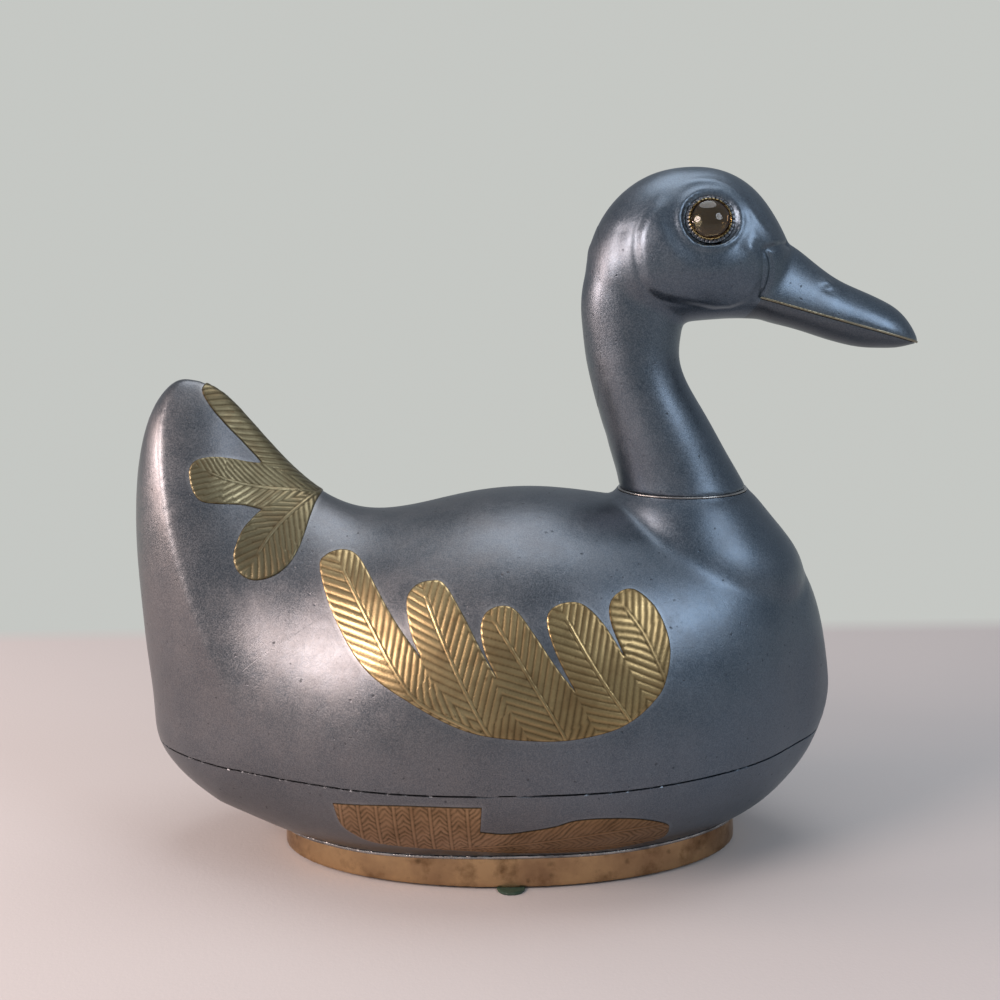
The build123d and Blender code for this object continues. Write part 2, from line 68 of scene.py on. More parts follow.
def copyNodes(names, newName):
    parts = []
    for name in names:
        part = bpy.data.objects.new(newName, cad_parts[name].data.copy())
        bpy.context.collection.objects.link(part)
        parts.append(part)
    pickOnly(parts[0])
    for part in parts[1:]:
        part.select_set(True)
    if len(parts) > 1:
        bpy.ops.object.join()
    obj = parts[0]
    editAll(obj)
    bpy.ops.mesh.remove_doubles(threshold=weld)
    leaveEdit()
    obj.data.materials.clear()
    return obj


def duplicateOf(obj, newName):
    copy = bpy.data.objects.new(newName, obj.data.copy())
    bpy.context.collection.objects.link(copy)
    return copy


def applyModifier(obj, kind, **settings):
    pickOnly(obj)
    modifier = obj.modifiers.new(kind.title(), kind)
    for key, value in settings.items():
        setattr(modifier, key, value)
    bpy.ops.object.modifier_apply(modifier=modifier.name)


def smoothOut(obj, rounds, group=""):
    applyModifier(obj, "SMOOTH", factor=smoothFactor, iterations=rounds, vertex_group=group)


def meltTogether(obj, voxel):
    applyModifier(obj, "REMESH", mode="VOXEL", voxel_size=voxel * mm, use_smooth_shade=True)


def pickWhere(obj, wanted):
    bpy.ops.mesh.select_all(action="DESELECT")
    shape = bmesh.from_edit_mesh(obj.data)
    for vertex in shape.verts:
        vertex.select_set(wanted(vertex.co))
    shape.select_flush(True)
    bmesh.update_edit_mesh(obj.data)


def cutLevel(obj, height, keepUpper, fromX=everywhere):
    # cuts a shell level, ahead of a place, and joins its inner and outer edge with a flat rim
    editAll(obj)
    pickWhere(obj, lambda place: place.x > fromX * mm)
    bpy.ops.mesh.bisect(
        plane_co=(0, 0, height * mm), plane_no=(0, 0, 1), clear_inner=keepUpper, clear_outer=not keepUpper
    )
    bpy.ops.mesh.bridge_edge_loops()
    leaveEdit()


def cutFlat(obj, place, normal, keepAhead, fromHeight=everywhere):
    editAll(obj)
    pickWhere(obj, lambda place: place.z > fromHeight * mm)
    cut = {"plane_co": Vector(place) * mm, "plane_no": normal, "use_fill": True}
    bpy.ops.mesh.bisect(clear_inner=keepAhead, clear_outer=not keepAhead, **cut)
    leaveEdit()


def scoreLevel(obj, height):
    editAll(obj)
    bpy.ops.mesh.bisect(plane_co=(0, 0, height * mm), plane_no=(0, 0, 1))
    leaveEdit()


def readPoints(obj):
    flat = np.empty(len(obj.data.vertices) * 3, dtype=np.float64)
    obj.data.vertices.foreach_get("co", flat)
    return flat.reshape(-1, 3) / mm


def readNormals(obj):
    flat = np.empty(len(obj.data.vertices) * 3, dtype=np.float32)
    obj.data.vertex_normals.foreach_get("vector", flat)
    return flat.reshape(-1, 3)


def writePoints(obj, points):
    obj.data.vertices.foreach_set("co", (points * mm).ravel())
    obj.data.update()


def rightSide(points):
    right = points.copy()
    right[:, 1] = -np.abs(right[:, 1])
    return right


def smoothShade(obj, angle):
    pickOnly(obj)
    bpy.ops.object.shade_smooth_by_angle(angle=math.radians(angle))


def weigh(obj, name, weights, least=0.01):
    group = obj.vertex_groups.new(name=name)
    for index in np.nonzero(weights > least)[0]:
        group.add([int(index)], float(weights[index]), "REPLACE")
    return group.name


def storeValue(obj, name, values):
    attribute = obj.data.attributes.new(name, "FLOAT", "POINT")
    attribute.data.foreach_set("value", np.asarray(values, dtype=np.float32))


def softBump(distance, width):
    return np.exp(-((distance / width) ** 2))


def easeBetween(values, low, high):
    share = np.clip((values - low) / (high - low), 0, 1)
    return share * share * (3 - 2 * share)


def distanceToLine(points, line):
    best = np.full(len(points), np.inf)
    along = np.zeros(len(points))
    start = 0.0
    for a, b in zip(np.array(line[:-1], float), np.array(line[1:], float)):
        run = b - a
        length = np.linalg.norm(run)
        share = np.clip(((points - a) @ run) / length**2, 0, 1)
        off = points - (a + share[:, None] * run)
        distance = np.linalg.norm(off, axis=1)
        nearer = distance < best
        best[nearer] = distance[nearer]
        along[nearer] = (start + share * length)[nearer]
        start += length
    return best, along


def curveThrough(points, spacing):
    path = np.array(points, float)
    path = np.vstack([2 * path[0] - path[1], path, 2 * path[-1] - path[-2]])
    out = []
    for before, a, b, after in zip(path, path[1:], path[2:], path[3:]):
        steps = max(1, round(np.linalg.norm(b - a) / spacing))
        for step in range(steps):
            t = step / steps
            bend = 2 * a + (b - before) * t + (2 * before - 5 * a + 4 * b - after) * t**2
            out.append((bend + (3 * a - before - 3 * b + after) * t**3) / 2)
    return np.array(out + [path[-2]])


def insideOutline(points, outline):
    inside = np.zeros(len(points), bool)
    x, y = points[:, 0], points[:, 1]
    for (ax, ay), (bx, by) in zip(outline, np.roll(outline, -1, axis=0)):
        if ay == by:
            continue
        crossing = ((ay > y) != (by > y)) & (x < (bx - ax) * (y - ay) / (by - ay) + ax)
        inside ^= crossing
    return inside


def treeOf(obj):
    points = [v.co.copy() for v in obj.data.vertices]
    return BVHTree.FromPolygons(points, [p.vertices[:] for p in obj.data.polygons])


def makeMesh(name, points, faces):
    mesh = bpy.data.meshes.new(name)
    mesh.from_pydata([tuple(p) for p in np.array(points) * mm], [], [list(f) for f in faces])
    obj = bpy.data.objects.new(name, mesh)
    bpy.context.collection.objects.link(obj)
    return obj


def addPair(right, angle):
    left = duplicateOf(right, right.name.replace("Right", "Left"))
    writePoints(left, readPoints(left) * [1, -1, 1])
    left.data.flip_normals()
    smoothShade(left, angle)
    pieces[right.name], pieces[left.name] = right, left


# Body and neck

shell = {
    "voxel": 1.15,
    "smoothRounds": 6,
    "softRounds": 40,
    "spotStrength": 1.6,
    "seam": 43.4,
    "seamGap": 0.09,
    "seamChamfer": 0.38,
    "rimReach": 0.01,
    "collar": 132.73,
    "collarStart": 27.0,
    "neckFoot": 133.53,
    "inner": (-14.0, 0.0),
    "crease": 35,
}
# the wall is thin along the top of the tail, so beads are laid under it before it is cast
ridge = {
    "start": (-72.0, 132.5),
    "slope": (-0.740, 0.672),
    "runs": (6.0, 55.0, 1.2),
    "rows": (-2.6, 0.01, 2.6),
    "radius": 1.7,
    "sink": 1.95,
    "above": 50.0,
}
# places where castings flow into each other, with a reach
softSpots = [
    ((58.0, -30.0, 112.0), 22), ((82.0, -20.0, 100.0), 20), ((30.0, -24.0, 124.0), 16),
    ((-108.0, -30.0, 62.0), 26), ((-96.0, -46.0, 52.0), 24), ((88.0, 0.0, 105.0), 20),
]


def spotWeights(points, spots):
    right = rightSide(points)
    weights = np.zeros(len(points))
    for place, reach in spots:
        far = np.linalg.norm(right - np.array(place), axis=1)
        weights = np.maximum(weights, np.clip(shell["spotStrength"] * (1 - far / reach), 0, 1))
    return weights


def chamferRim(obj, height, depth):
    points, normals = readPoints(obj), readNormals(obj)
    out = points[:, :2] - np.array(shell["inner"])
    outer = (normals[:, :2] * out).sum(axis=1) > 0
    rim = (np.abs(points[:, 2] - height) < shell["rimReach"]) & outer
    level = normals[rim][:, :2]
    level /= np.linalg.norm(level, axis=1)[:, None]
    points[rim, :2] -= level * depth
    writePoints(obj, points)


def beadRidge(obj):
    tree = treeOf(obj)
    over = Vector((ridge["slope"][1], 0, -ridge["slope"][0]))
    beads = bmesh.new()
    beads.from_mesh(obj.data)
    for run in np.arange(*ridge["runs"]):
        x = ridge["start"][0] + ridge["slope"][0] * run
        z = ridge["start"][1] + ridge["slope"][1] * run
        for across in ridge["rows"]:
            hit = tree.ray_cast((Vector((x, across, z)) + over * ridge["above"]) * mm, -over)[0]
            if hit is not None:
                place = Matrix.Translation(hit - over * ridge["sink"] * mm)
                bmesh.ops.create_icosphere(beads, subdivisions=2, radius=ridge["radius"] * mm, matrix=place)
    beads.to_mesh(obj.data)
    beads.free()


castBody = copyNodes(["base_bowl", "lid_shell", "neck_solder_bead", "neck_shell"], "castBody")
beadRidge(castBody)
meltTogether(castBody, shell["voxel"])
smoothOut(castBody, shell["smoothRounds"])
softGroup = weigh(castBody, "soft", spotWeights(readPoints(castBody), softSpots))
smoothOut(castBody, shell["softRounds"], softGroup)
castBody.vertex_groups.clear()
bodyTree = treeOf(castBody)

lidPiece = duplicateOf(castBody, "duckLid")
cutLevel(lidPiece, shell["collar"], False, shell["collarStart"])
cutLevel(lidPiece, shell["seam"] + shell["seamGap"], True)
bowlPiece = castBody
cutLevel(bowlPiece, shell["seam"] - shell["seamGap"], False)
for piece, rise in ((lidPiece, 1), (bowlPiece, -1)):
    scoreLevel(piece, shell["seam"] + rise * (shell["seamGap"] + shell["seamChamfer"]))
    chamferRim(piece, shell["seam"] + rise * shell["seamGap"], shell["seamChamfer"])
    smoothShade(piece, shell["crease"])
print("body cast")

# a pair such as "brow" is a push in millimetres, out or in, with its width
head = {
    "voxel": 0.66,
    "smoothRounds": 4,
    "flowRounds": 60,
    "flowFromEye": (12, 17),
    "flowToBill": (98, 90),
    "middle": (61, 0, 216),
    "neckTop": 185,
    "eye": (63.18, -20.2, 228.0),
    "eyeTilt": 17.0,
    "eyeDepth": 8,
    "eyeReach": 20,
    "cheekRise": 1.0,
    "cheekStep": (-2.2, 2.4),
    "cheekStart": (-2, 16),
    "cheekFront": (1, 9),
    "cheekEye": (12, 18),
    "cheekGroove": (0.15, 1.2),
    "grooveOut": 1.6,
    "valley": (-0.45, 3.0),
    "groove": (-0.85, 1.0),
    "mouthCrease": (-0.4, 0.7),
    "fold": (0.45, 1.7),
    "brow": (0.5, 2.0),
    "browStart": (-3, 14),
    "browEnd": (50, 40),
    "lipRadius": 10.5,
    "lip": (0.36, 1.0),
    "dishOut": 2.2,
    "dish": (0.22, 1.4),
    "lipSide": (0.65, 0.6, 16),
    "lipRange": (0.25, 1.2),
    "billTop": (93.6, 0, 220.6),
    "mouthCorner": (82.0, 0, 200.9),
    "mouthSlope": 0.2874,
    "mouthGap": 0.32,
    "throat": 178.0,
    "crease": 50,
}
cheekEdge = [
    (50.8, -14.2, 237.7), (45.5, -16.4, 232.5), (41.8, -17.2, 228.2), (40.0, -17.9, 223.6),
    (39.6, -18.9, 218.0), (40.1, -19.6, 213.3), (41.3, -19.6, 208.7), (43.5, -19.0, 204.6),
    (47.3, -18.2, 202.2), (53.9, -17.2, 200.8), (60.6, -16.0, 199.5), (66.0, -14.4, 198.2),
    (71.0, -14.0, 198.4), (75.4, -15.1, 199.9), (81.4, -15.1, 201.7),
]
browLine = [
    (50.8, -13.8, 238.1), (55.6, -13.5, 239.5), (60.4, -13.1, 240.2), (65.4, -13.2, 239.8),
    (69.3, -14.1, 238.2), (72.9, -15.3, 235.5), (76.4, -17.2, 230.4), (79.4, -17.5, 226.4),
    (82.2, -17.2, 223.1), (86.1, -15.1, 220.1),
]
# where the head meets the bill
billGroove = [
    (92.1, -6.5, 219.1), (86.1, -15.6, 218.4), (82.1, -18.5, 217.5), (83.7, -17.6, 214.8),
    (84.5, -17.0, 211.5), (84.3, -16.4, 208.1), (83.4, -15.6, 204.4), (82.0, -14.6, 201.4),
]
billCrease = [
    (81.0, -19.1, 217.5), (81.4, -18.9, 213.0), (81.6, -18.0, 208.2), (81.5, -16.6, 204.5),
    (81.4, -15.1, 201.7),
]
billFold = [
    (76.3, -21.0, 217.8), (78.5, -20.2, 214.5), (79.0, -19.5, 211.2), (78.8, -18.5, 207.2),
    (76.6, -17.1, 203.2),
]
neckValley = [
    (33.3, -14.3, 223.7), (32.2, -15.2, 217.8), (32.6, -16.2, 211.8), (34.3, -16.8, 206.1),
    (38.5, -16.8, 201.0),
]


def eyeFrame():
    tilt = math.radians(head["eyeTilt"])
    return np.array(head["eye"]), np.array([0, -math.cos(tilt), math.sin(tilt)])


def pushAlong(right, line, press):
    return press[0] * softBump(distanceToLine(right, line)[0], press[1])


def cheekPush(right, eyeRadius):
    far, along = distanceToLine(right, cheekEdge)
    front = np.array(billCrease[::-1] + browLine[::-1])
    inside = insideOutline(right[:, [0, 2]], np.vstack([cheekEdge, front])[:, [0, 2]])
    signed = np.where(inside, far, -far)
    frontFar = np.minimum(distanceToLine(right, browLine)[0], distanceToLine(right, billCrease)[0])
    calm = easeBetween(frontFar, *head["cheekFront"]) * easeBetween(eyeRadius, *head["cheekEye"])
    step = head["cheekRise"] * easeBetween(signed, *head["cheekStep"]) * calm
    depth, width = head["cheekGroove"]
    groove = depth * softBump(signed + head["grooveOut"], width)
    return easeBetween(along, *head["cheekStart"]) * (step - groove)


def eyeLipPush(off, radius):
    # a raised lip below and behind the eye, with a shallow dish round it above and ahead
    level, lean, fade = head["lipSide"]
    lower = np.clip(level - (off[:, 2] + lean * off[:, 0]) / fade, *head["lipRange"])
    beyond = radius - head["lipRadius"]
    push = head["lip"][0] * softBump(beyond, head["lip"][1]) * lower
    dish = head["dish"][0] * softBump(beyond - head["dishOut"], head["dish"][1])
    return push - dish * (head["lipRange"][1] - lower)


def sculptHead(obj):
    points, normals = readPoints(obj), readNormals(obj)
    right = rightSide(points)
    outward = ((points - np.array(head["middle"])) * normals).sum(axis=1)
    outer = (outward > 0) & (points[:, 2] > head["neckTop"])
    centre, axis = eyeFrame()
    off = right - centre
    depth = off @ axis
    radius = np.linalg.norm(off - depth[:, None] * axis, axis=1)
    near = (np.abs(depth) < head["eyeDepth"]) & (radius < head["eyeReach"])
    push = cheekPush(right, np.where(near, radius, np.inf)) + near * eyeLipPush(off, radius)
    browAlong = distanceToLine(right, browLine)[1]
    browFade = easeBetween(browAlong, *head["browStart"]) * easeBetween(browAlong, *head["browEnd"])
    push += pushAlong(right, browLine, head["brow"]) * browFade
    push += pushAlong(right, neckValley, head["valley"]) + pushAlong(right, billGroove, head["groove"])
    push += pushAlong(right, billCrease, head["mouthCrease"]) + pushAlong(right, billFold, head["fold"])
    points += normals * (push * outer)[:, None]
    writePoints(obj, points)


bill = {
    "nostril": (105.5, -8.3, 205.7),
    "turn": 24.0,
    "reach": 5.0,
    "above": 200.0,
    "rise": 0.8,
    "long": 2.5,
    "wide": 1.35,
    "narrowing": 0.12,
    "narrowRange": (0.5, 1.4),
    "crease": 0.3,
    "creaseAhead": 0.9,
    "creaseBelow": -2.0,
    "creaseRound": 1.3,
    "creaseLong": 1.6,
}


def sculptNostril(obj):
    points, normals = readPoints(obj), readNormals(obj)
    off = rightSide(points) - np.array(bill["nostril"])
    turn = math.radians(bill["turn"])
    along = off[:, 0] * math.cos(turn) - off[:, 2] * math.sin(turn)
    across = off[:, 0] * math.sin(turn) + off[:, 2] * math.cos(turn)
    near = (np.abs(off[:, 1]) < bill["reach"]) & (points[:, 2] > bill["above"])
    wide = bill["wide"] * np.clip(1.0 - bill["narrowing"] * along, *bill["narrowRange"])
    push = bill["rise"] * softBump(np.hypot(along / bill["long"], across / wide), 1.0)
    hollow = np.hypot((along - bill["creaseAhead"]) / bill["creaseLong"], across - bill["creaseBelow"])
    push -= bill["crease"] * softBump(hollow, bill["creaseRound"])
    points += normals * (near * push)[:, None]
    writePoints(obj, points)


headCast = copyNodes(["neck_solder_bead", "neck_shell", "upper_bill", "lower_bill"], "headCast")
meltTogether(headCast, head["voxel"])
neckPoints = readPoints(headCast)
eyeFar = np.linalg.norm(rightSide(neckPoints) - np.array(head["eye"]), axis=1)
flow = easeBetween(eyeFar, *head["flowFromEye"]) * easeBetween(neckPoints[:, 0], *head["flowToBill"])
flowGroup = weigh(headCast, "flow", flow)
smoothOut(headCast, head["smoothRounds"])
smoothOut(headCast, head["flowRounds"], flowGroup)
headCast.vertex_groups.clear()
cutLevel(headCast, shell["neckFoot"], True)
sculptHead(headCast)
sculptNostril(headCast)

corner = np.array(head["mouthCorner"])
rise = np.array(head["billTop"]) - corner
ahead = Vector((rise[2], 0, -rise[0])).normalized()
above = Vector((head["mouthSlope"], 0, 1)).normalized()
neckPiece = duplicateOf(headCast, "duckNeck")
cutFlat(neckPiece, corner, ahead, False, head["throat"])
upperBill = headCast
cutFlat(upperBill, (0, 0, head["throat"]), (0, 0, 1), True)
cutFlat(upperBill, corner, ahead, True)
lowerBill = duplicateOf(upperBill, "lowerBill")
cutFlat(upperBill, corner + np.array(above) * head["mouthGap"], above, True)
cutFlat(lowerBill, corner - np.array(above) * head["mouthGap"], above, False)
for piece in (neckPiece, upperBill, lowerBill):
    smoothShade(piece, head["crease"])
print("neck, head and bill cast", len(neckPiece.data.polygons))

# Plain copies of nodes, each with a voxel size where its edges are softened
softCopies = {
    "rimBand": ("base_locating_band", None),
    "footRing": ("foot_ring", 0.55),
    "footSolder": ("foot_solder_bead", 0.3),
    "neckSolder": ("neck_solder_bead", 0.25),
    "feltPads": ("felt_pads", 0.4),
    "billStrip": ("bill_strip", 0.22),
}
softCopy = {"smoothRounds": 2, "crease": 45}
pieces = {"duckLid": lidPiece, "duckBowl": bowlPiece, "duckNeck": neckPiece}
pieces.update(upperBill=upperBill, lowerBill=lowerBill)
for newName, (node, voxel) in softCopies.items():
    pieces[newName] = copyNodes([node], newName)
    if voxel:
        meltTogether(pieces[newName], voxel)
        smoothOut(pieces[newName], softCopy["smoothRounds"])
    smoothShade(pieces[newName], softCopy["crease"])
print("ring, bill and band made")

# Eyes: each profile has radii and heights over its own place along the eye's axis
eye = {
    "radius": 6.8,
    "dome": 3.2,
    "domeRows": 14,
    "glass": [(0, 0.9), (4.08, 0.9), (6.65, 1.0), (6.8, 3.0)],
    "glassPlace": -4.2,
    "iris": [(0, 0.05), (6.7, 0.05), (6.7, 0.35), (6.1, 0.65), (0, 0.75)],
    "steps": 96,
    "cup": [
        (6.85, -2.8), (6.85, 0), (6.85, 0.35), (7.0, 0.57), (7.19, 0.53), (7.35, 0.25), (7.95, 0.1),
        (8.25, 0.02), (8.0, 0), (8.0, -3.2), (0, -3.2), (0, -2.8), (6.85, -2.8),
    ],
    "cupPlace": -1.6,
    "cupSteps": 320,
    "notchedRows": (4, 5, 6),
    "notches": 34,
    "notchDepth": 0.42,
    "notchSharp": 3,
    "notchSlope": 0.4,
    "crease": 50,
}


def eyePlace(depth):
    centre, axis = eyeFrame()
    return centre + axis * depth


def turnedProfile(name, profile, steps, depth, notched=()):
    axis = eyeFrame()[1]
    up = np.array([0, axis[2], -axis[1]])
    across = np.array([1.0, 0, 0])
    centre = eyePlace(depth)
    points, faces = [], []
    rows = len(profile)
    for step in range(steps):
        turn = 2 * math.pi * step / steps
        ray = across * math.cos(turn) + up * math.sin(turn)
        dent = eye["notchDepth"] * max(0.0, math.cos(turn * eye["notches"])) ** eye["notchSharp"]
        for row, (radius, rise) in enumerate(profile):
            lower = dent if row in notched else 0
            points.append(centre + ray * (radius - lower * eye["notchSlope"]) + axis * (rise - lower))
        for row in range(rows - 1):
            a, b = step * rows + row, (step + 1) % steps * rows + row
            faces.append((a, b, b + 1, a + 1))
    obj = makeMesh(name, points, faces)
    editAll(obj)
    bpy.ops.mesh.remove_doubles(threshold=weld)
    bpy.ops.mesh.normals_make_consistent(inside=False)
    leaveEdit()
    smoothShade(obj, eye["crease"])
    return obj


bow = (eye["radius"] ** 2 + eye["dome"] ** 2) / (2 * eye["dome"])
glassProfile = list(eye["glass"])
glassTop = glassProfile[-1][1] + eye["dome"]
for step in range(1, eye["domeRows"] + 1):
    angle = math.asin(eye["radius"] / bow) * (1 - step / eye["domeRows"])
    glassProfile.append((bow * math.sin(angle), glassTop - bow * (1 - math.cos(angle))))
for right in (
    turnedProfile("eyeGlassRight", glassProfile, eye["steps"], eye["glassPlace"]),
    turnedProfile("eyeIrisRight", eye["iris"], eye["steps"], eye["glassPlace"]),
    turnedProfile("eyeCupRight", eye["cup"], eye["cupSteps"], eye["cupPlace"], eye["notchedRows"]),
):
    addPair(right, eye["crease"])
print("eyes made")

# Brass feather plates

plate = {
    "lift": 0.3,
    "thickness": 0.5,
    "clear": 0.55,
    "barbSlant": 1.12,
    "barbSharp": 0.6,
    "meeting": (0.5, 9.0),
    "stemStep": 4.0,
    "stemWidth": 0.62,
    "stemRise": 0.05,
    "stemDome": 0.12,
    "stemSide": (0.08, 0.2),
    "stemDark": 0.6,
    "grooveDark": 0.85,
    "tipRun": 7.0,
    "tipFade": (8.0, 11.0),
    "flatEdge": 0.7,
    "edge": 0.35,
    "edgeDrop": 0.2,
    "driftWaves": ((0.83, 1.7, 0.31), (0.9, 1.3, 0.27)),
    "faintWave": (0.47, 2.0, 0.35),
    "lookFrom": 200.0,
    "nearSide": 40.0,
    "normalReach": 2.0,
    "normalLimit": 0.3,
    "crease": 55,
}


def closedLine(outline):
    return np.vstack([outline, outline[:1]])


def flatSheet(outline, spacing):
    low, high = outline.min(axis=0), outline.max(axis=0)
    rows = []
    height = spacing * math.sqrt(3) / 2
    for row in range(int((high[1] - low[1]) / height) + 1):
        shift = spacing / 2 * (row % 2)
        xs = np.arange(low[0] + shift, high[0], spacing)
        rows.append(np.column_stack([xs, np.full(len(xs), low[1] + row * height)]))
    grid = np.vstack(rows)
    grid = grid[insideOutline(grid, outline)]
    grid = grid[distanceToLine(grid, closedLine(outline))[0] > plate["clear"] * spacing]
    points = [Vector(p) for p in np.vstack([outline, grid])]
    ring = list(range(len(outline)))
    solved = delaunay_2d_cdt(points, [], [ring], 1, weld / 10)
    flat = np.array([p[:] for p in solved[0]])
    return flat, [tuple(f) for f in solved[2]]


def evenlySpaced(outline, spacing):
    closed = closedLine(outline)
    steps = np.linalg.norm(np.diff(closed, axis=0), axis=1)
    reach = np.concatenate([[0], np.cumsum(steps)])
    count = int(reach[-1] / spacing)
    places = np.arange(count) * reach[-1] / count
    return np.column_stack([np.interp(places, reach, closed[:, 0]), np.interp(places, reach, closed[:, 1])])


def lengthened(line, run):
    line = np.array(line, float)
    first, last = line[0] - line[1], line[-1] - line[-2]
    before = line[0] + first / np.linalg.norm(first) * run
    return np.vstack([before, line, line[-1] + last / np.linalg.norm(last) * run])


def wave(a, b, numbers):
    lead, sway, turn = numbers
    return np.sin(lead * a + sway * np.sin(turn * b))


def nearestStem(flat, stems, pitch):
    # the barbs of neighbouring feathers are shifted along their stems, so that they meet in a V
    fars, runs, shift = [], [], 0.0
    for stem in stems:
        far, along = distanceToLine(flat, lengthened(curveThrough(stem, plate["stemStep"]), plate["tipRun"]))
        if fars:
            between, reach = plate["meeting"]
            meeting = (np.abs(far - fars[-1]) < between) & (np.minimum(far, fars[-1]) < reach)
            gap = np.exp(2j * math.pi * (runs[-1][meeting] - along[meeting]) / pitch).sum()
            shift = float(np.angle(gap)) / (2 * math.pi) * pitch if meeting.any() else 0.0
        fars.append(far)
        runs.append(along + shift)
    nearest, along = fars[0], runs[0]
    for far, run in zip(fars[1:], runs[1:]):
        along = np.where(far < nearest, run, along)
        nearest = np.minimum(far, nearest)
    return nearest, along


def featherRelief(flat, outline, stems, style):
    rim = distanceToLine(flat, closedLine(outline))[0]
    nearest, along = nearestStem(flat, stems, style["barbPitch"])
    x, z = flat[:, 0], flat[:, 1]
    rise, wander = style["barbRise"], style["wander"]
    drift = wander * wave(x, z, plate["driftWaves"][0]) * wave(z, x, plate["driftWaves"][1])
    turns = (along + plate["barbSlant"] * nearest) / style["barbPitch"] + drift
    ridge = np.abs(np.sin(math.pi * turns)) ** plate["barbSharp"]
    faint = 1 - min(1.0, 2 * wander) * (1 + wave(x, z, plate["faintWave"])) / 2
    ridge = 1 - (1 - ridge) * faint
    shown = easeBetween(along, *plate["tipFade"])
    sideDepth, sideWidth = plate["stemSide"]
    stemSide = softBump(nearest - plate["stemWidth"], sideWidth) * shown
    onStem = (nearest < plate["stemWidth"]) * shown
    domed = rise + plate["stemRise"] - plate["stemDome"] * (nearest / plate["stemWidth"]) ** 2
    relief = rise * ridge * (1 - onStem) + domed * onStem - sideDepth * stemSide
    relief = rise / 2 + (relief - rise / 2) * np.clip(rim / plate["flatEdge"], 0, 1)
    relief -= plate["edgeDrop"] * np.clip(1 - rim / plate["edge"], 0, 1) ** 2
    groove = (1 - ridge) ** plate["grooveDark"] * (1 - onStem) + plate["stemDark"] * stemSide
    return relief, np.clip(groove, 0, 1), rim


def makeFeathers(name, outline, stems, style, spotOf):
    flat, faces = flatSheet(outline, style["spacing"])
    relief, groove, rim = featherRelief(flat, outline, stems, style)
    spots, points = [spotOf(*place) for place in flat], []
    for (spot, normal), rise in zip(spots, relief):
        points.append(np.array(spot) / mm + np.array(normal) * (plate["lift"] + rise))
    obj = makeMesh(name, points, faces)
    storeValue(obj, "groove", groove)
    storeValue(obj, "rim", rim)
    middle = len(flat) // 2
    if float(readNormals(obj)[middle] @ np.array(spots[middle][1])) < 0:
        obj.data.flip_normals()
    applyModifier(obj, "SOLIDIFY", thickness=plate["thickness"] * mm, offset=-1)
    smoothShade(obj, plate["crease"])
    print(name, "made", len(obj.data.polygons))
    return obj


def smoothNormal(spot, normal):
    total = Vector(normal)
    for axis in (0, 2, 1):
        for shift in (plate["normalReach"], -plate["normalReach"]):
            near = Vector(spot)
            near[axis] += shift * mm
            other = bodyTree.find_nearest(near)[1]
            if other is not None and other.dot(normal) > plate["normalLimit"]:
                total += other
    return total.normalized()


def sideSpot(x, z):
    hit, normal, _, _ = bodyTree.ray_cast(Vector((x, -plate["lookFrom"], z)) * mm, Vector((0, 1, 0)))
    if hit is None:
        hit, normal, _, _ = bodyTree.find_nearest(Vector((x, -plate["nearSide"], z)) * mm)
    return hit, smoothNormal(hit, normal)


def spread(shares, place):
    start, length, foot, height = place
    return np.array([(start + x * length, foot + z * height) for x, z in shares])


def makeSidePlate(name, style):
    spacing = style["spacing"]
    runs = [curveThrough(spread(curve, style["place"]), spacing)[:-1] for curve in style["curves"]]
    stems = [spread(stem, style["place"]) for stem in style["stems"]]
    return makeFeathers(name, evenlySpaced(np.vstack(runs), spacing), stems, style, sideSpot)


# the wing's and the leg's curves and stems are shares of the plate's length and height
wing = {
    "place": (-70.55, 117.6, 62.0, 55.2),
    "spacing": 0.36,
    "barbPitch": 3.35,
    "barbRise": 0.2,
    "wander": 0.0,
    "curves": [
        [(0.866, 0.465), (0.832, 0.650), (0.833, 0.755), (0.869, 0.812), (0.913, 0.802), (0.968, 0.690),
         (0.999, 0.495), (0.981, 0.290), (0.943, 0.185), (0.885, 0.095), (0.812, 0.038), (0.685, 0.002),
         (0.531, 0.022), (0.413, 0.076), (0.273, 0.220), (0.142, 0.395), (0.047, 0.665), (0.000, 0.900),
         (0.016, 0.972), (0.062, 0.999), (0.106, 0.975), (0.146, 0.888), (0.225, 0.665), (0.303, 0.470)],
        [(0.303, 0.470), (0.275, 0.597), (0.261, 0.760), (0.283, 0.838), (0.326, 0.870), (0.368, 0.855),
         (0.420, 0.705), (0.475, 0.498), (0.512, 0.368)],
        [(0.512, 0.368), (0.480, 0.508), (0.470, 0.633), (0.485, 0.716), (0.527, 0.752), (0.569, 0.727),
         (0.619, 0.598), (0.679, 0.415), (0.727, 0.286)],
        [(0.727, 0.286), (0.679, 0.484), (0.655, 0.642), (0.662, 0.724), (0.703, 0.763), (0.756, 0.751),
         (0.812, 0.642), (0.866, 0.465)],
    ],
    "stems": [
        [(0.062, 0.915), (0.109, 0.777), (0.169, 0.591), (0.237, 0.371), (0.300, 0.220), (0.420, 0.095)],
        [(0.312, 0.803), (0.365, 0.558), (0.420, 0.312), (0.477, 0.082), (0.500, 0.010)],
        [(0.500, 0.694), (0.569, 0.476), (0.630, 0.265), (0.692, 0.043), (0.700, 0.000)],
        [(0.699, 0.707), (0.765, 0.466), (0.821, 0.277), (0.876, 0.109), (0.890, 0.050)],
        [(0.858, 0.759), (0.920, 0.585), (0.960, 0.408), (0.981, 0.308)],
    ],
}
wingPiece = makeSidePlate("wingPlateRight", wing)

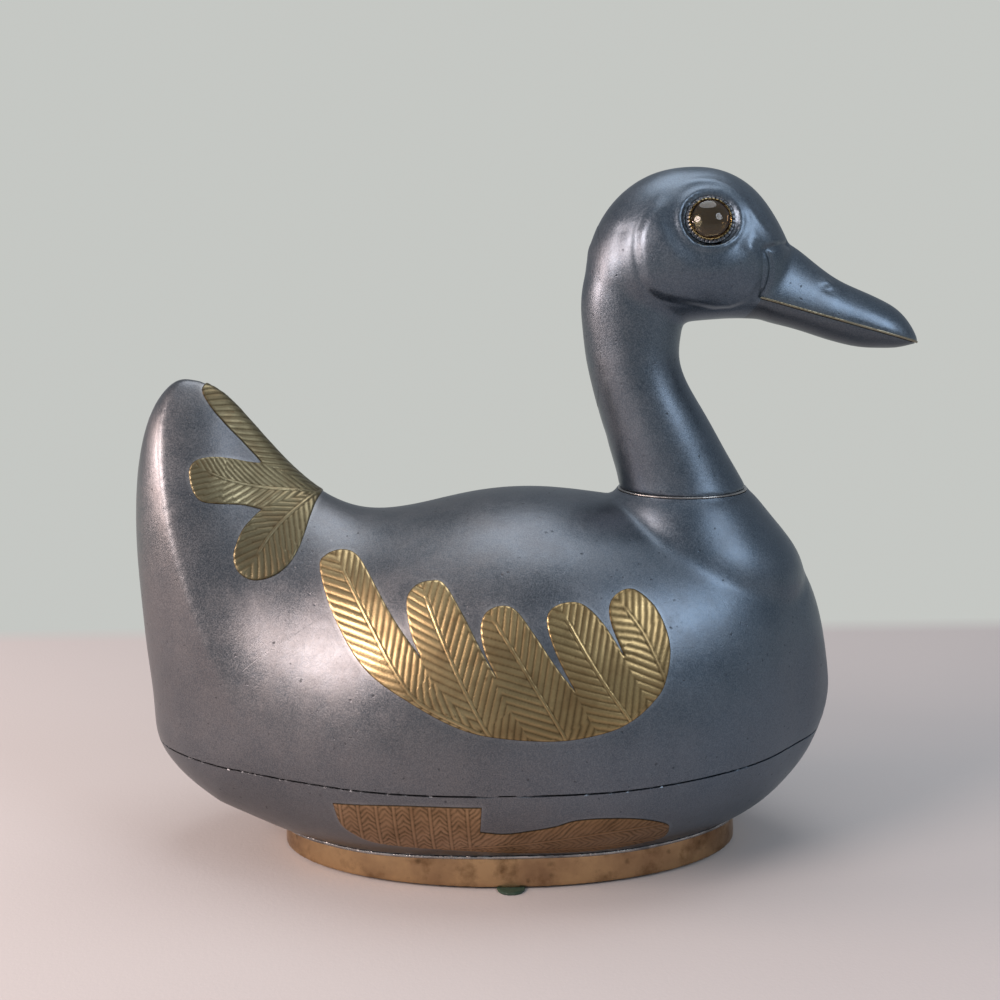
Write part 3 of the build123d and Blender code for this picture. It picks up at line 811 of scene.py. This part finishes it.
# The tail fan is laid out along and round the ridge of the tail: run along it, arc round it.
fan = {
    "start": ridge["start"],
    "slope": ridge["slope"],
    "depth": 25.0,
    "offMiddle": 0.013,
    "lookFrom": 120.0,
    "nearSide": 20.0,
    "spacing": 0.36,
    "curveStep": 0.4,
    "barbPitch": 3.0,
    "barbRise": 0.2,
    "wander": 0.0,
    "top": [(57.5, 0), (56.5, 4), (50, 7), (42, 8.3), (34, 8.6), (26, 9.3), (24.5, 10.2), (28, 13.5)],
    "tip": [
        (28, 13.5), (33, 17.5), (38, 22.5), (41.3, 28.5), (40.6, 34), (36, 38.5), (31, 39.8), (26, 36.8),
        (19, 30.5), (13.2, 26.8),
    ],
    "low": [
        (13.2, 26.8), (13.6, 32), (13.4, 38), (10.5, 44), (5.5, 46.2), (-0.5, 45), (-4.7, 41), (-6.2, 36),
        (-5.3, 30), (-3.4, 24), (-1.2, 17), (0.6, 9), (1.2, 0),
    ],
    "middleStem": [(52.5, 0), (20, 0), (2, 0)],
    "upperStem": [(38.5, 30), (30, 27), (20, 20), (8, 9.5), (3, 5)],
    "lowerStem": [(3.5, 42), (5, 34), (5, 24), (3.5, 12), (2.5, 6)],
}


def fanSpot(run, arc):
    slope = Vector((fan["slope"][0], 0, fan["slope"][1]))
    over = Vector((fan["slope"][1], 0, -fan["slope"][0]))
    start = Vector((fan["start"][0], fan["offMiddle"], fan["start"][1])) - over * fan["depth"]
    angle = arc / fan["depth"]
    ray = over * math.cos(angle) - Vector((0, math.sin(angle), 0))
    origin = start + slope * run
    hit, normal, _, _ = bodyTree.ray_cast((origin + ray * fan["lookFrom"]) * mm, -ray)
    if hit is None:
        hit, normal, _, _ = bodyTree.find_nearest((origin + ray * fan["nearSide"]) * mm)
    return hit, smoothNormal(hit, normal)


def acrossRidge(line):
    return [(run, -arc) for run, arc in line]


fanHalf = [curveThrough(fan[part], fan["curveStep"])[:-1] for part in ("top", "tip", "low")]
fanHalf = np.vstack(fanHalf + [fan["low"][-1]])
fanOutline = evenlySpaced(np.vstack([fanHalf, fanHalf[::-1][1:-1] * [1, -1]]), fan["spacing"])
fanStems = [acrossRidge(fan["lowerStem"]), acrossRidge(fan["upperStem"])]
fanStems += [fan["middleStem"], fan["upperStem"], fan["lowerStem"]]
pieces["tailFan"] = makeFeathers("tailFan", fanOutline, fanStems, fan, fanSpot)

# small upright feathers on the thigh at the left, longer ones down the foot at the right
leg = {
    "place": (-65.55, 113.4, 15.3, 24.2),
    "spacing": 0.4,
    "barbPitch": 2.3,
    "barbRise": 0.13,
    "wander": 0.22,
    "curves": [
        [(0.000, 0.905), (0.210, 0.992), (0.440, 0.996)],
        [(0.440, 0.996), (0.434, 0.560)],
        [(0.434, 0.560), (0.504, 0.515), (0.580, 0.568), (0.653, 0.640), (0.712, 0.735), (0.802, 0.740),
         (0.900, 0.660), (0.984, 0.478), (1.000, 0.330), (0.985, 0.120), (0.914, 0.065), (0.798, 0.000),
         (0.581, 0.014), (0.380, 0.110), (0.226, 0.150), (0.117, 0.195), (0.058, 0.330), (0.017, 0.535),
         (0.000, 0.905)],
    ],
    "thighStems": (0.020, 0.075, 0.130, 0.182, 0.234, 0.288, 0.342, 0.396),
    "thighRun": (1.15, 0.02),
    "thighLean": 0.008,
    "footStems": [
        [(1.02, 0.50), (0.80, 0.46), (0.55, 0.28), (0.44, 0.22)],
        [(1.02, 0.22), (0.80, 0.14), (0.52, 0.10), (0.42, 0.02)],
    ],
}
high, low = leg["thighRun"]
leg["stems"] = [[(x, high), (x + leg["thighLean"], low)] for x in leg["thighStems"]] + leg["footStems"]
legPiece = makeSidePlate("legPlateRight", leg)
for piece in (wingPiece, legPiece):
    addPair(piece, plate["crease"])

# how far each point of the lid and bowl lies from a plate, for the solder round it
haloReach = 6.0
plateTrees = [treeOf(piece) for piece in (wingPiece, pieces["tailFan"], legPiece)]
for piece in (lidPiece, bowlPiece):
    halo = []
    for place in rightSide(readPoints(piece)):
        reach = [tree.find_nearest(Vector(place) * mm, haloReach * mm)[3] for tree in plateTrees]
        halo.append(min([haloReach] + [r / mm for r in reach if r is not None]))
    storeValue(piece, "halo", halo)
for piece in (neckPiece, upperBill):
    storeValue(piece, "halo", np.full(len(piece.data.vertices), haloReach))
print("solder marks made")

# Finishes

plainTone = (1, 1, 1, 1)


def join(tree, value, socket):
    if isinstance(value, bpy.types.NodeSocket):
        tree.links.new(value, socket)
    else:
        socket.default_value = value


def put(tree, kind, settings=None, **values):
    # a value's key is the socket's name, or i with the socket's number
    node = tree.nodes.new(kind)
    for key, value in (settings or {}).items():
        setattr(node, key, value)
    for key, value in values.items():
        numbered = key[0] == "i" and key[1:].isdigit()
        join(tree, value, node.inputs[int(key[1:]) if numbered else key.replace("_", " ")])
    return node


def objectPlace(tree):
    return tree.nodes.new("ShaderNodeTexCoord").outputs["Object"]


def splitPlace(tree):
    return put(tree, "ShaderNodeSeparateXYZ", Vector=objectPlace(tree)).outputs


def mathNode(tree, operation, a, b=0.0, clamp=False):
    return put(tree, "ShaderNodeMath", {"operation": operation, "use_clamp": clamp}, i0=a, i1=b).outputs[0]


def ranged(tree, value, low, high, toLow=0.0, toHigh=1.0):
    ends = {"From_Min": low, "From_Max": high, "To_Min": toLow, "To_Max": toHigh}
    return put(tree, "ShaderNodeMapRange", Value=value, **ends).outputs[0]


def mixColor(tree, factor, a, b, blend="MIX"):
    node = put(tree, "ShaderNodeMix", {"data_type": "RGBA", "blend_type": blend}, i0=factor, i6=a, i7=b)
    return node.outputs[2]


def noise(tree, place, **values):
    return put(tree, "ShaderNodeTexNoise", Vector=place, **values)


def newGroup(name, **inputs):
    tree = bpy.data.node_groups.new(name, "ShaderNodeTree")
    for label, value in inputs.items():
        tree.interface.new_socket(label, in_out="INPUT", socket_type="NodeSocketFloat").default_value = value
    tree.interface.new_socket("Mask", in_out="OUTPUT", socket_type="NodeSocketFloat")
    return tree, tree.nodes.new("NodeGroupInput").outputs, tree.nodes.new("NodeGroupOutput").inputs["Mask"]


def buildMottle():
    tree, given, mask = newGroup("mottle", Scale=60.0, Detail=4.0, Low=0.35, High=0.65)
    cloud = noise(tree, objectPlace(tree), Scale=given["Scale"], Detail=given["Detail"], Roughness=0.6)
    join(tree, ranged(tree, cloud.outputs[0], given["Low"], given["High"]), mask)
    return tree


speck = {"bendScale": 900.0, "bend": (0.0012,) * 3}


def buildSpecks():
    tree, given, mask = newGroup("specks", Scale=300.0, Size=0.15, Share=0.3)
    place = objectPlace(tree)
    bent = noise(tree, place, Scale=speck["bendScale"], Detail=1.0).outputs[1]
    shift = {"i0": bent, "i1": speck["bend"], "i2": place}
    moved = put(tree, "ShaderNodeVectorMath", {"operation": "MULTIPLY_ADD"}, **shift).outputs[0]
    cells = put(tree, "ShaderNodeTexVoronoi", Vector=moved, Scale=given["Scale"])
    dot = ranged(tree, cells.outputs["Distance"], given["Size"], 0.0)
    split = put(tree, "ShaderNodeSeparateColor", Color=cells.outputs["Color"])
    chosen = mathNode(tree, "LESS_THAN", split.outputs[0], given["Share"])
    join(tree, mathNode(tree, "MULTIPLY", dot, chosen, True), mask)
    return tree


scratch = {
    "lean": 0.4,
    "stretch": (0.03, 1.0, 1.0),
    "level": 0.5,
    "patchScale": 55.0,
    "patchRange": (0.56, 0.66),
}


def buildScratches():
    tree, given, mask = newGroup("scratches", Scale=40.0, Turn=0.6, Width=0.012)
    place = objectPlace(tree)
    turn = {"X": given["Turn"], "Y": given["Turn"], "Z": scratch["lean"]}
    angle = put(tree, "ShaderNodeCombineXYZ", **turn).outputs[0]
    turned = put(tree, "ShaderNodeVectorRotate", {"rotation_type": "EULER_XYZ"}, Vector=place, Rotation=angle)
    long = put(tree, "ShaderNodeMapping", Vector=turned.outputs[0], Scale=scratch["stretch"]).outputs[0]
    cloud = noise(tree, long, Scale=given["Scale"], Detail=0.0).outputs[0]
    line = mathNode(tree, "ABSOLUTE", mathNode(tree, "SUBTRACT", cloud, scratch["level"]))
    thin = ranged(tree, line, 0.0, given["Width"], 1.0, 0.0)
    patches = noise(tree, place, Scale=scratch["patchScale"], Detail=2.0).outputs[0]
    broken = ranged(tree, patches, *scratch["patchRange"])
    join(tree, mathNode(tree, "MULTIPLY", thin, broken, True), mask)
    return tree


effects = {"mottle": buildMottle(), "specks": buildSpecks(), "scratches": buildScratches()}


def masksOf(tree, finish):
    masks = {}
    for name, (kind, *values) in finish["masks"].items():
        node = put(tree, "ShaderNodeGroup", {"node_tree": effects[kind]})
        for socket, value in zip(node.inputs, values):
            socket.default_value = value
        masks[name] = node.outputs["Mask"]
    return masks


def newMaterial(name):
    material = bpy.data.materials.new(name)
    material.use_nodes = True
    tree = material.node_tree
    return material, tree, tree.nodes["Principled BSDF"]


def layCoats(tree, color, masks, coats, tones):
    for mask, share, tone in coats:
        color = mixColor(tree, mathNode(tree, "MULTIPLY", masks[mask], share), color, tones[tone])
    return color


def paintLightAlongBody(tree, color, run, behind, ahead):
    # paints light along the body: the tint grows more and more towards the breast, as painted cool light on
    # the pewter and painted shade on the feather brass
    tone = mixColor(tree, ranged(tree, splitPlace(tree)["X"], *run), behind, ahead)
    return mixColor(tree, 1.0, color, tone, "MULTIPLY")


def finishSurface(tree, shader, color, masks, finish, rough):
    for mask, share in finish.get("roughBy", ()):
        rough = mathNode(tree, "ADD", rough, mathNode(tree, "MULTIPLY", masks[mask], share))
    values = {"Base Color": color, "Roughness": rough, **finish.get("shader", {})}
    normal = None
    for mask, strength, distance in finish.get("bumps", ()):
        bump = put(tree, "ShaderNodeBump", Height=masks[mask], Strength=strength, Distance=distance)
        if normal is not None:
            tree.links.new(normal, bump.inputs["Normal"])
        normal = values["Normal"] = bump.outputs[0]
    for label, value in values.items():
        join(tree, value, shader.inputs[label])


def storedValue(tree, name):
    return put(tree, "ShaderNodeAttribute", {"attribute_name": name}).outputs["Fac"]


# A mask is an effect with that effect's inputs in order. A coat lays a tone through a mask by a share,
# roughBy adds a share of a mask to the roughness, and a bump is a mask with its strength and distance.
metal = {"Metallic": 1.0}
pewter = {
    "dark": (0.098, 0.108, 0.125, 1),
    "mid": (0.134, 0.146, 0.166, 1),
    "warm": (0.178, 0.168, 0.172, 1),
    "worn": (0.42, 0.42, 0.43, 1),
    "pit": (0.035, 0.037, 0.042, 1),
    # painted cool light: the pewter turns bluer and a little darker towards the breast, where the cool lamp
    # falls
    "coolLightTint": (0.72, 0.88, 1.02, 1),
    "coolLightTintRun": (-0.02, 0.06),
    "masks": {
        "clouds": ("mottle", 22.0, 5.0, 0.36, 0.66),
        "smudge": ("mottle", 85.0, 6.0, 0.40, 0.68),
        "grain": ("mottle", 900.0, 3.0, 0.3, 0.7),
        "dust": ("mottle", 2300.0, 4.0, 0.42, 0.62),
        "freckles": ("specks", 1500.0, 0.42, 0.22),
        "pits": ("specks", 520.0, 0.30, 0.06),
        "nicks": ("specks", 120.0, 0.08, 0.035),
        "scratches": ("scratches", 34.0, 0.55, 0.0016),
    },
    "coats": [
        ("smudge", 0.35, "warm"), ("grain", 0.3, "warm"), ("dust", 0.22, "worn"), ("freckles", 0.5, "pit"),
        ("pits", 0.75, "pit"), ("nicks", 0.9, "worn"), ("scratches", 0.16, "worn"),
    ],
    "haloRun": (1.5, 0.2),
    "haloRagged": 0.35,
    "haloCoats": [("halo", 0.28, "worn")],
    "rough": 0.31,
    "roughBy": [("smudge", 0.09), ("dust", 0.10), ("pits", 0.25)],
    "deepScratch": 0.25,
    "bumps": [("smudge", 0.12, 0.0004), ("dust", 0.14, 0.00006), ("deep", 0.35, 0.00025)],
    "shader": metal,
}


def makePewter(name, tint=plainTone, haloed=True, roughMore=0.0):
    material, tree, shader = newMaterial(name)
    masks = masksOf(tree, pewter)
    color = mixColor(tree, masks["clouds"], pewter["dark"], pewter["mid"])
    color = layCoats(tree, color, masks, pewter["coats"], pewter)
    if haloed:
        near = ranged(tree, storedValue(tree, "halo"), *pewter["haloRun"])
        ragged = mathNode(tree, "ADD", masks["smudge"], pewter["haloRagged"])
        masks["halo"] = mathNode(tree, "MULTIPLY", near, ragged, True)
        color = layCoats(tree, color, masks, pewter["haloCoats"], pewter)
    color = mixColor(tree, 1.0, color, tint, "MULTIPLY")
    # painted cool light, growing towards the breast
    color = paintLightAlongBody(tree, color, pewter["coolLightTintRun"], plainTone, pewter["coolLightTint"])
    scratches = mathNode(tree, "MULTIPLY", masks["scratches"], pewter["deepScratch"])
    marks = mathNode(tree, "ADD", masks["pits"], scratches, True)
    masks["deep"] = mathNode(tree, "MULTIPLY", marks, -1.0)
    finishSurface(tree, shader, color, masks, pewter, pewter["rough"] + roughMore)
    return material


brass = {
    "bright": (0.60, 0.46, 0.25, 1),
    "dull": (0.33, 0.245, 0.13, 1),
    "groove": (0.040, 0.029, 0.014, 1),
    "brown": (0.13, 0.066, 0.030, 1),
    "copper": (0.44, 0.28, 0.165, 1),
    "olive": (0.33, 0.285, 0.175, 1),
    "oliveDull": (0.165, 0.140, 0.085, 1),
    "foot": (0.52, 0.345, 0.185, 1),
    "footDull": (0.30, 0.185, 0.105, 1),
    "strip": (0.30, 0.275, 0.21, 1),
    "bezel": (0.42, 0.34, 0.17, 1),
    # painted light and shade on the feather brass: lighter towards the tail, where the warm lamps fall,
    # darker towards the breast
    "litBrassTint": (1.12, 1.12, 1.12, 1),
    "shadedBrassTint": (0.80, 0.77, 0.70, 1),
    "shadedBrassTintRun": (-0.05, 0.02),
}
featherFinish = {
    "masks": {
        "blotches": ("mottle", 60.0, 5.0, 0.40, 0.66),
        "grain": ("mottle", 1500.0, 2.0, 0.3, 0.7),
        "tarnish": ("mottle", 26.0, 4.0, 0.44, 0.62),
        "stains": ("mottle", 140.0, 6.0, 0.50, 0.68),
        "spots": ("specks", 380.0, 0.3, 0.12),
    },
    # rim is painted shadow: the plate is darkened within about 0.3 mm of its outline, where the gap to the
    # pewter lies in shade
    "rimRun": (0.34, 0.05),
    "coats": [("tarnish", 0.7, "dull"), ("stains", 0.4, "brown"), ("grain", 0.5, "dull")],
    "lastCoats": [("spots", 0.6, "brown"), ("rim", 0.75, "groove")],
    "roughBy": [("blotches", 0.14), ("grooves", 0.2)],
    "bumps": [("grain", 0.18, 0.00008), ("blotches", 0.1, 0.0002)],
    "shader": metal,
}


def makeFeatherBrass(name, bright, dull, grooveShare, rough):
    material, tree, shader = newMaterial(name)
    masks = masksOf(tree, featherFinish)
    masks["grooves"] = storedValue(tree, "groove")
    # painted shadow along the plate's outline
    masks["rim"] = ranged(tree, storedValue(tree, "rim"), *featherFinish["rimRun"])
    tones = {**brass, "dull": brass[dull]}
    color = mixColor(tree, masks["blotches"], brass[bright], brass[dull])
    color = layCoats(tree, color, masks, featherFinish["coats"], tones)
    # painted light and shade: lighter towards the tail, darker towards the breast
    color = paintLightAlongBody(tree, color, brass["shadedBrassTintRun"], brass["litBrassTint"], brass["shadedBrassTint"])
    lastCoats = featherFinish["lastCoats"] + [("grooves", grooveShare, "groove")]
    color = layCoats(tree, color, masks, lastCoats, tones)
    finishSurface(tree, shader, color, masks, featherFinish, rough)
    return material


plainFinish = {
    "masks": {
        "blotches": ("mottle", 38.0, 6.0, 0.38, 0.64),
        "stains": ("mottle", 95.0, 5.0, 0.50, 0.70),
        "spots": ("specks", 260.0, 0.35, 0.2),
        "scratches": ("scratches", 60.0, 0.2, 0.02),
    },
    "coats": [("spots", 0.55, "groove"), ("scratches", 0.3, "bright")],
    "rough": 0.34,
    "roughBy": [("stains", 0.22)],
    "bumps": [("blotches", 0.12, 0.0003), ("spots", 0.25, 0.0001)],
    "shader": metal,
}


def makePlainBrass(name, bright, dull, brownShare):
    material, tree, shader = newMaterial(name)
    masks = masksOf(tree, plainFinish)
    color = mixColor(tree, masks["blotches"], brass[bright], brass[dull])
    color = layCoats(tree, color, masks, [("stains", brownShare, "brown")] + plainFinish["coats"], brass)
    finishSurface(tree, shader, color, masks, plainFinish, plainFinish["rough"])
    return material


bezelFinish = {
    "masks": {"stains": ("mottle", 900.0, 3.0, 0.38, 0.6)},
    "face": -1.3,
    "edge": (0.00722, 0.00738),
    "rough": 0.34,
    "bumps": [("stains", 0.3, 0.0001)],
    "shader": metal,
}


def distanceFrom(tree, place, centre):
    ends = {"i0": place, "i1": tuple(float(c) for c in centre * mm)}
    return put(tree, "ShaderNodeVectorMath", {"operation": "DISTANCE"}, **ends).outputs["Value"]


def makeBezel():
    # brass within the notched edge, and pewter from there on
    material, tree, shader = newMaterial("notchedBezel")
    masks = masksOf(tree, bezelFinish)
    split = splitPlace(tree)
    right = mathNode(tree, "MULTIPLY", mathNode(tree, "ABSOLUTE", split["Y"]), -1.0)
    place = put(tree, "ShaderNodeCombineXYZ", X=split["X"], Y=right, Z=split["Z"]).outputs[0]
    outside = ranged(tree, distanceFrom(tree, place, eyePlace(bezelFinish["face"])), *bezelFinish["edge"])
    ring = mixColor(tree, masks["stains"], brass["bezel"], brass["groove"])
    color = mixColor(tree, outside, ring, pewter["dark"])
    finishSurface(tree, shader, color, masks, bezelFinish, bezelFinish["rough"])
    return material


# simple finishes: two tones mixed by the first mask
solderFinish = {
    "masks": {"stains": ("mottle", 120.0, 4.0, 0.42, 0.66)},
    "tones": ((0.42, 0.41, 0.40, 1), (0.15, 0.15, 0.155, 1)),
    "rough": 0.22,
    "roughBy": [("stains", 0.18)],
    "bumps": [("stains", 0.3, 0.0003)],
    "shader": metal,
}
feltFinish = {
    "masks": {"fibres": ("mottle", 1400.0, 3.0, 0.3, 0.7), "wear": ("mottle", 240.0, 3.0, 0.45, 0.7)},
    "tones": ((0.010, 0.032, 0.019, 1), (0.026, 0.066, 0.040, 1)),
    "coats": [("wear", 0.5, "thin")],
    "thin": (0.05, 0.07, 0.05, 1),
    "rough": 0.85,
    "bumps": [("fibres", 0.6, 0.0002)],
    "shader": {"Coat Weight": 0.35},
}
glassFinish = {
    "masks": {"haze": ("mottle", 500.0, 3.0, 0.4, 0.8)},
    "tones": ((0.72, 0.54, 0.30, 1), (0.60, 0.43, 0.23, 1)),
    "rough": 0.03,
    "roughBy": [("haze", 0.06)],
    "shader": {"Transmission Weight": 1.0, "IOR": 1.5},
}


def makeSimple(name, finish):
    material, tree, shader = newMaterial(name)
    masks = masksOf(tree, finish)
    color = mixColor(tree, list(masks.values())[0], *finish["tones"])
    color = layCoats(tree, color, masks, finish.get("coats", ()), finish)
    finishSurface(tree, shader, color, masks, finish, finish["rough"])
    return material


irisFinish = {
    "masks": {"ripple": ("mottle", 700.0, 3.0, 0.3, 0.7)},
    "face": -4.0,
    "rippled": 0.5,
    "pupilRun": (3.6, 5.6),
    "rimRun": (6.1, 6.8),
    "pupil": (0.006, 0.004, 0.002, 1),
    "amber": (0.035, 0.021, 0.008, 1),
    "rim": (0.42, 0.37, 0.20, 1),
    "rough": 0.45,
}


def makeIris(name, side):
    material, tree, shader = newMaterial(name)
    masks = masksOf(tree, irisFinish)
    far = distanceFrom(tree, objectPlace(tree), eyePlace(irisFinish["face"]) * [1, side, 1])
    radius = mathNode(tree, "MULTIPLY", far, 1 / mm)
    edge = mathNode(tree, "ADD", radius, mathNode(tree, "MULTIPLY", masks["ripple"], irisFinish["rippled"]))
    pupil = ranged(tree, edge, *irisFinish["pupilRun"])
    color = mixColor(tree, pupil, irisFinish["pupil"], irisFinish["amber"])
    color = mixColor(tree, ranged(tree, edge, *irisFinish["rimRun"]), color, irisFinish["rim"])
    finishSurface(tree, shader, color, masks, irisFinish, irisFinish["rough"])
    return material


materials = {
    "pewter": makePewter("agedPewter"),
    "pewterBrown": makePewter("brownedPewter", tint=(0.87, 0.80, 0.75, 1), haloed=False, roughMore=0.04),
    "pewterInside": makePewter("rimPewter", tint=(0.9, 0.88, 0.85, 1), haloed=False, roughMore=0.1),
    "featherBrass": makeFeatherBrass("featherBrass", "bright", "dull", grooveShare=0.92, rough=0.27),
    "tailBrass": makeFeatherBrass("tailBrass", "olive", "oliveDull", grooveShare=0.85, rough=0.27),
    "legBrass": makeFeatherBrass("legBrass", "copper", "footDull", grooveShare=0.9, rough=0.36),
    "footBrass": makePlainBrass("footBrass", "foot", "footDull", brownShare=0.8),
    "stripBrass": makePlainBrass("stripBrass", "strip", "oliveDull", brownShare=0.5),
    "eyeBrass": makeBezel(),
    "solder": makeSimple("rubbedSolder", solderFinish),
    "felt": makeSimple("greenFelt", feltFinish),
    "eyeGlass": makeSimple("amberGlass", glassFinish),
    "irisRight": makeIris("irisPaintRight", 1),
    "irisLeft": makeIris("irisPaintLeft", -1),
}
print("finishes made")

# each piece: its body, slot and finish, and the CAD node that it stands for
seats = {
    "duckLid": ("lid", "pewter", "pewter", "lid_shell"),
    "duckBowl": ("base", "pewter", "pewter", "base_bowl"),
    "duckNeck": ("lid", "pewter", "pewter", "neck_shell"),
    "upperBill": ("lid", "pewter", "pewter", "upper_bill"),
    "lowerBill": ("lid", "pewter", "pewterBrown", "lower_bill"),
    "rimBand": ("base", "pewter", "pewterInside", "base_locating_band"),
    "footRing": ("base", "foot_brass", "footBrass", "foot_ring"),
    "footSolder": ("base", "solder", "solder", "foot_solder_bead"),
    "neckSolder": ("lid", "solder", "solder", "neck_solder_bead"),
    "feltPads": ("base", "felt", "felt", "felt_pads"),
    "billStrip": ("lid", "plate_brass", "stripBrass", "bill_strip"),
    "eyeGlassRight": ("lid", "eye_glass", "eyeGlass", "eye_glass_right"),
    "eyeGlassLeft": ("lid", "eye_glass", "eyeGlass", "eye_glass_left"),
    "eyeIrisRight": ("lid", "eye_glass", "irisRight", None),
    "eyeIrisLeft": ("lid", "eye_glass", "irisLeft", None),
    "eyeCupRight": ("lid", "eye_brass", "eyeBrass", "eye_cup_right"),
    "eyeCupLeft": ("lid", "eye_brass", "eyeBrass", "eye_cup_left"),
    "wingPlateRight": ("lid", "plate_brass", "featherBrass", "wing_plate_right"),
    "wingPlateLeft": ("lid", "plate_brass", "featherBrass", "wing_plate_left"),
    "legPlateRight": ("base", "plate_brass", "legBrass", "leg_plate_right"),
    "legPlateLeft": ("base", "plate_brass", "legBrass", "leg_plate_left"),
    "tailFan": ("lid", "plate_brass", "tailBrass", "tail_fan_plate"),
}
for name, (body, slot, finish, node) in seats.items():
    piece = pieces[name]
    piece.name = name
    piece.data.materials.clear()
    piece.data.materials.append(materials[finish])
    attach(piece, body)
    if node:
        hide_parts(node)
print("pieces ride on their bodies")

# Floor, light and camera

def seenBy(tree, rays):
    # 1 for the rays named, 0 for all others
    path = tree.nodes.new("ShaderNodeLightPath").outputs
    seen = path["Is Camera Ray"]
    for ray in rays:
        seen = mathNode(tree, "MAXIMUM", seen, path[ray])
    return seen


stage = {
    "floorSize": 8.0,
    "floor": (0.53, 0.49, 0.48, 1),
    "weft": (0.5, 0.47, 0.47, 1),
    "wall": (0.56, 0.575, 0.55, 1),
    "fill": (0.76, 0.83, 0.90, 1),
    "fillStrength": 0.40,
    "fadeRun": (0.262, 0.290),
    "roundRun": (0.6, 1.1),
    "weaveScale": 700.0,
    "weaveRun": (0.3, 0.7, 0.0, 0.12),
    "rough": 0.9,
    "bumps": [("weave", 0.15, 0.0004)],
    "aim": (0, 0, 0.11),
}
bpy.ops.object.select_all(action="DESELECT")
bpy.ops.mesh.primitive_plane_add(size=stage["floorSize"], location=(0, 0, 0))
floor = bpy.context.object
floor.name = "tableCloth"
material, tree, shader = newMaterial("paleCloth")
place = objectPlace(tree)
behind = splitPlace(tree)["Y"]
far = put(tree, "ShaderNodeVectorMath", {"operation": "LENGTH"}, i0=place).outputs["Value"]
away = ranged(tree, behind, *stage["fadeRun"])
away = mathNode(tree, "MAXIMUM", away, ranged(tree, far, *stage["roundRun"]))
weave = noise(tree, place, Scale=stage["weaveScale"], Detail=2.0).outputs[0]
cloth = mixColor(tree, ranged(tree, weave, *stage["weaveRun"]), stage["floor"], stage["weft"])
finishSurface(tree, shader, cloth, {"weave": weave}, stage, stage["rough"])
# past the cloth the camera, gloss and glass see the pale wall, while the light falls as before
glow = put(tree, "ShaderNodeEmission", Color=stage["wall"], Strength=1.0)
seen = seenBy(tree, ["Is Glossy Ray", "Is Transmission Ray"])
share = mathNode(tree, "MULTIPLY", away, seen)
blend = put(tree, "ShaderNodeMixShader", i0=share, i1=shader.outputs[0], i2=glow.outputs[0])
tree.links.new(blend.outputs[0], tree.nodes["Material Output"].inputs[0])
floor.data.materials.append(material)

world = bpy.data.worlds.new("paleRoom")
bpy.context.scene.world = world
world.use_nodes = True
room = world.node_tree
fill = room.nodes["Background"]
fill.inputs["Color"].default_value = stage["fill"]
fill.inputs["Strength"].default_value = stage["fillStrength"]
wall = put(room, "ShaderNodeBackground", Color=stage["wall"], Strength=1.0)
seen = seenBy(room, ["Is Transmission Ray"])
blend = put(room, "ShaderNodeMixShader", i0=seen, i1=fill.outputs[0], i2=wall.outputs[0])
room.links.new(blend.outputs[0], room.nodes["World Output"].inputs[0])

lamps = {
    "warmWindow": {"at": (-0.78, -0.54, 0.58), "size": 0.46, "power": 8.5, "color": (1.0, 0.81, 0.73)},
    "warmSide": {"at": (-0.95, -0.05, 0.34), "size": 0.34, "power": 4.8, "color": (1.0, 0.76, 0.67)},
    "coolWindow": {"at": (0.70, -0.62, 0.72), "size": 0.50, "power": 3.2, "color": (0.84, 0.91, 1.0)},
    "softTop": {"at": (0.05, 0.10, 1.10), "size": 0.8, "power": 4.0, "color": (0.96, 0.98, 1.0)},
}
for name, lamp in lamps.items():
    light = bpy.data.lights.new(name, "AREA")
    light.shape = "DISK"
    light.size = lamp["size"]
    light.energy = lamp["power"]
    light.color = lamp["color"]
    holder = bpy.data.objects.new(name, light)
    holder.location = lamp["at"]
    holder.rotation_euler = (Vector(stage["aim"]) - Vector(lamp["at"])).to_track_quat("-Z", "Y").to_euler()
    bpy.context.collection.objects.link(holder)

view = {"location": (-8.49, -464.24, 215.22), "pitch": 79.5, "roll": -0.7, "lens": 46.8, "sensor": 36.0}
cameraData = bpy.data.cameras.new("photoCamera")
cameraData.lens, cameraData.sensor_width = view["lens"], view["sensor"]
cameraObject = bpy.data.objects.new("photoCamera", cameraData)
pitch = Matrix.Rotation(math.radians(view["pitch"]), 4, "X")
roll = Matrix.Rotation(math.radians(view["roll"]), 4, "Z")
cameraObject.matrix_world = Matrix.Translation(Vector(view["location"]) * mm) @ pitch @ roll
bpy.context.collection.objects.link(cameraObject)
bpy.context.scene.camera = cameraObject
bpy.context.scene.view_settings.view_transform = "Standard"
print("stage, lamps and camera set")
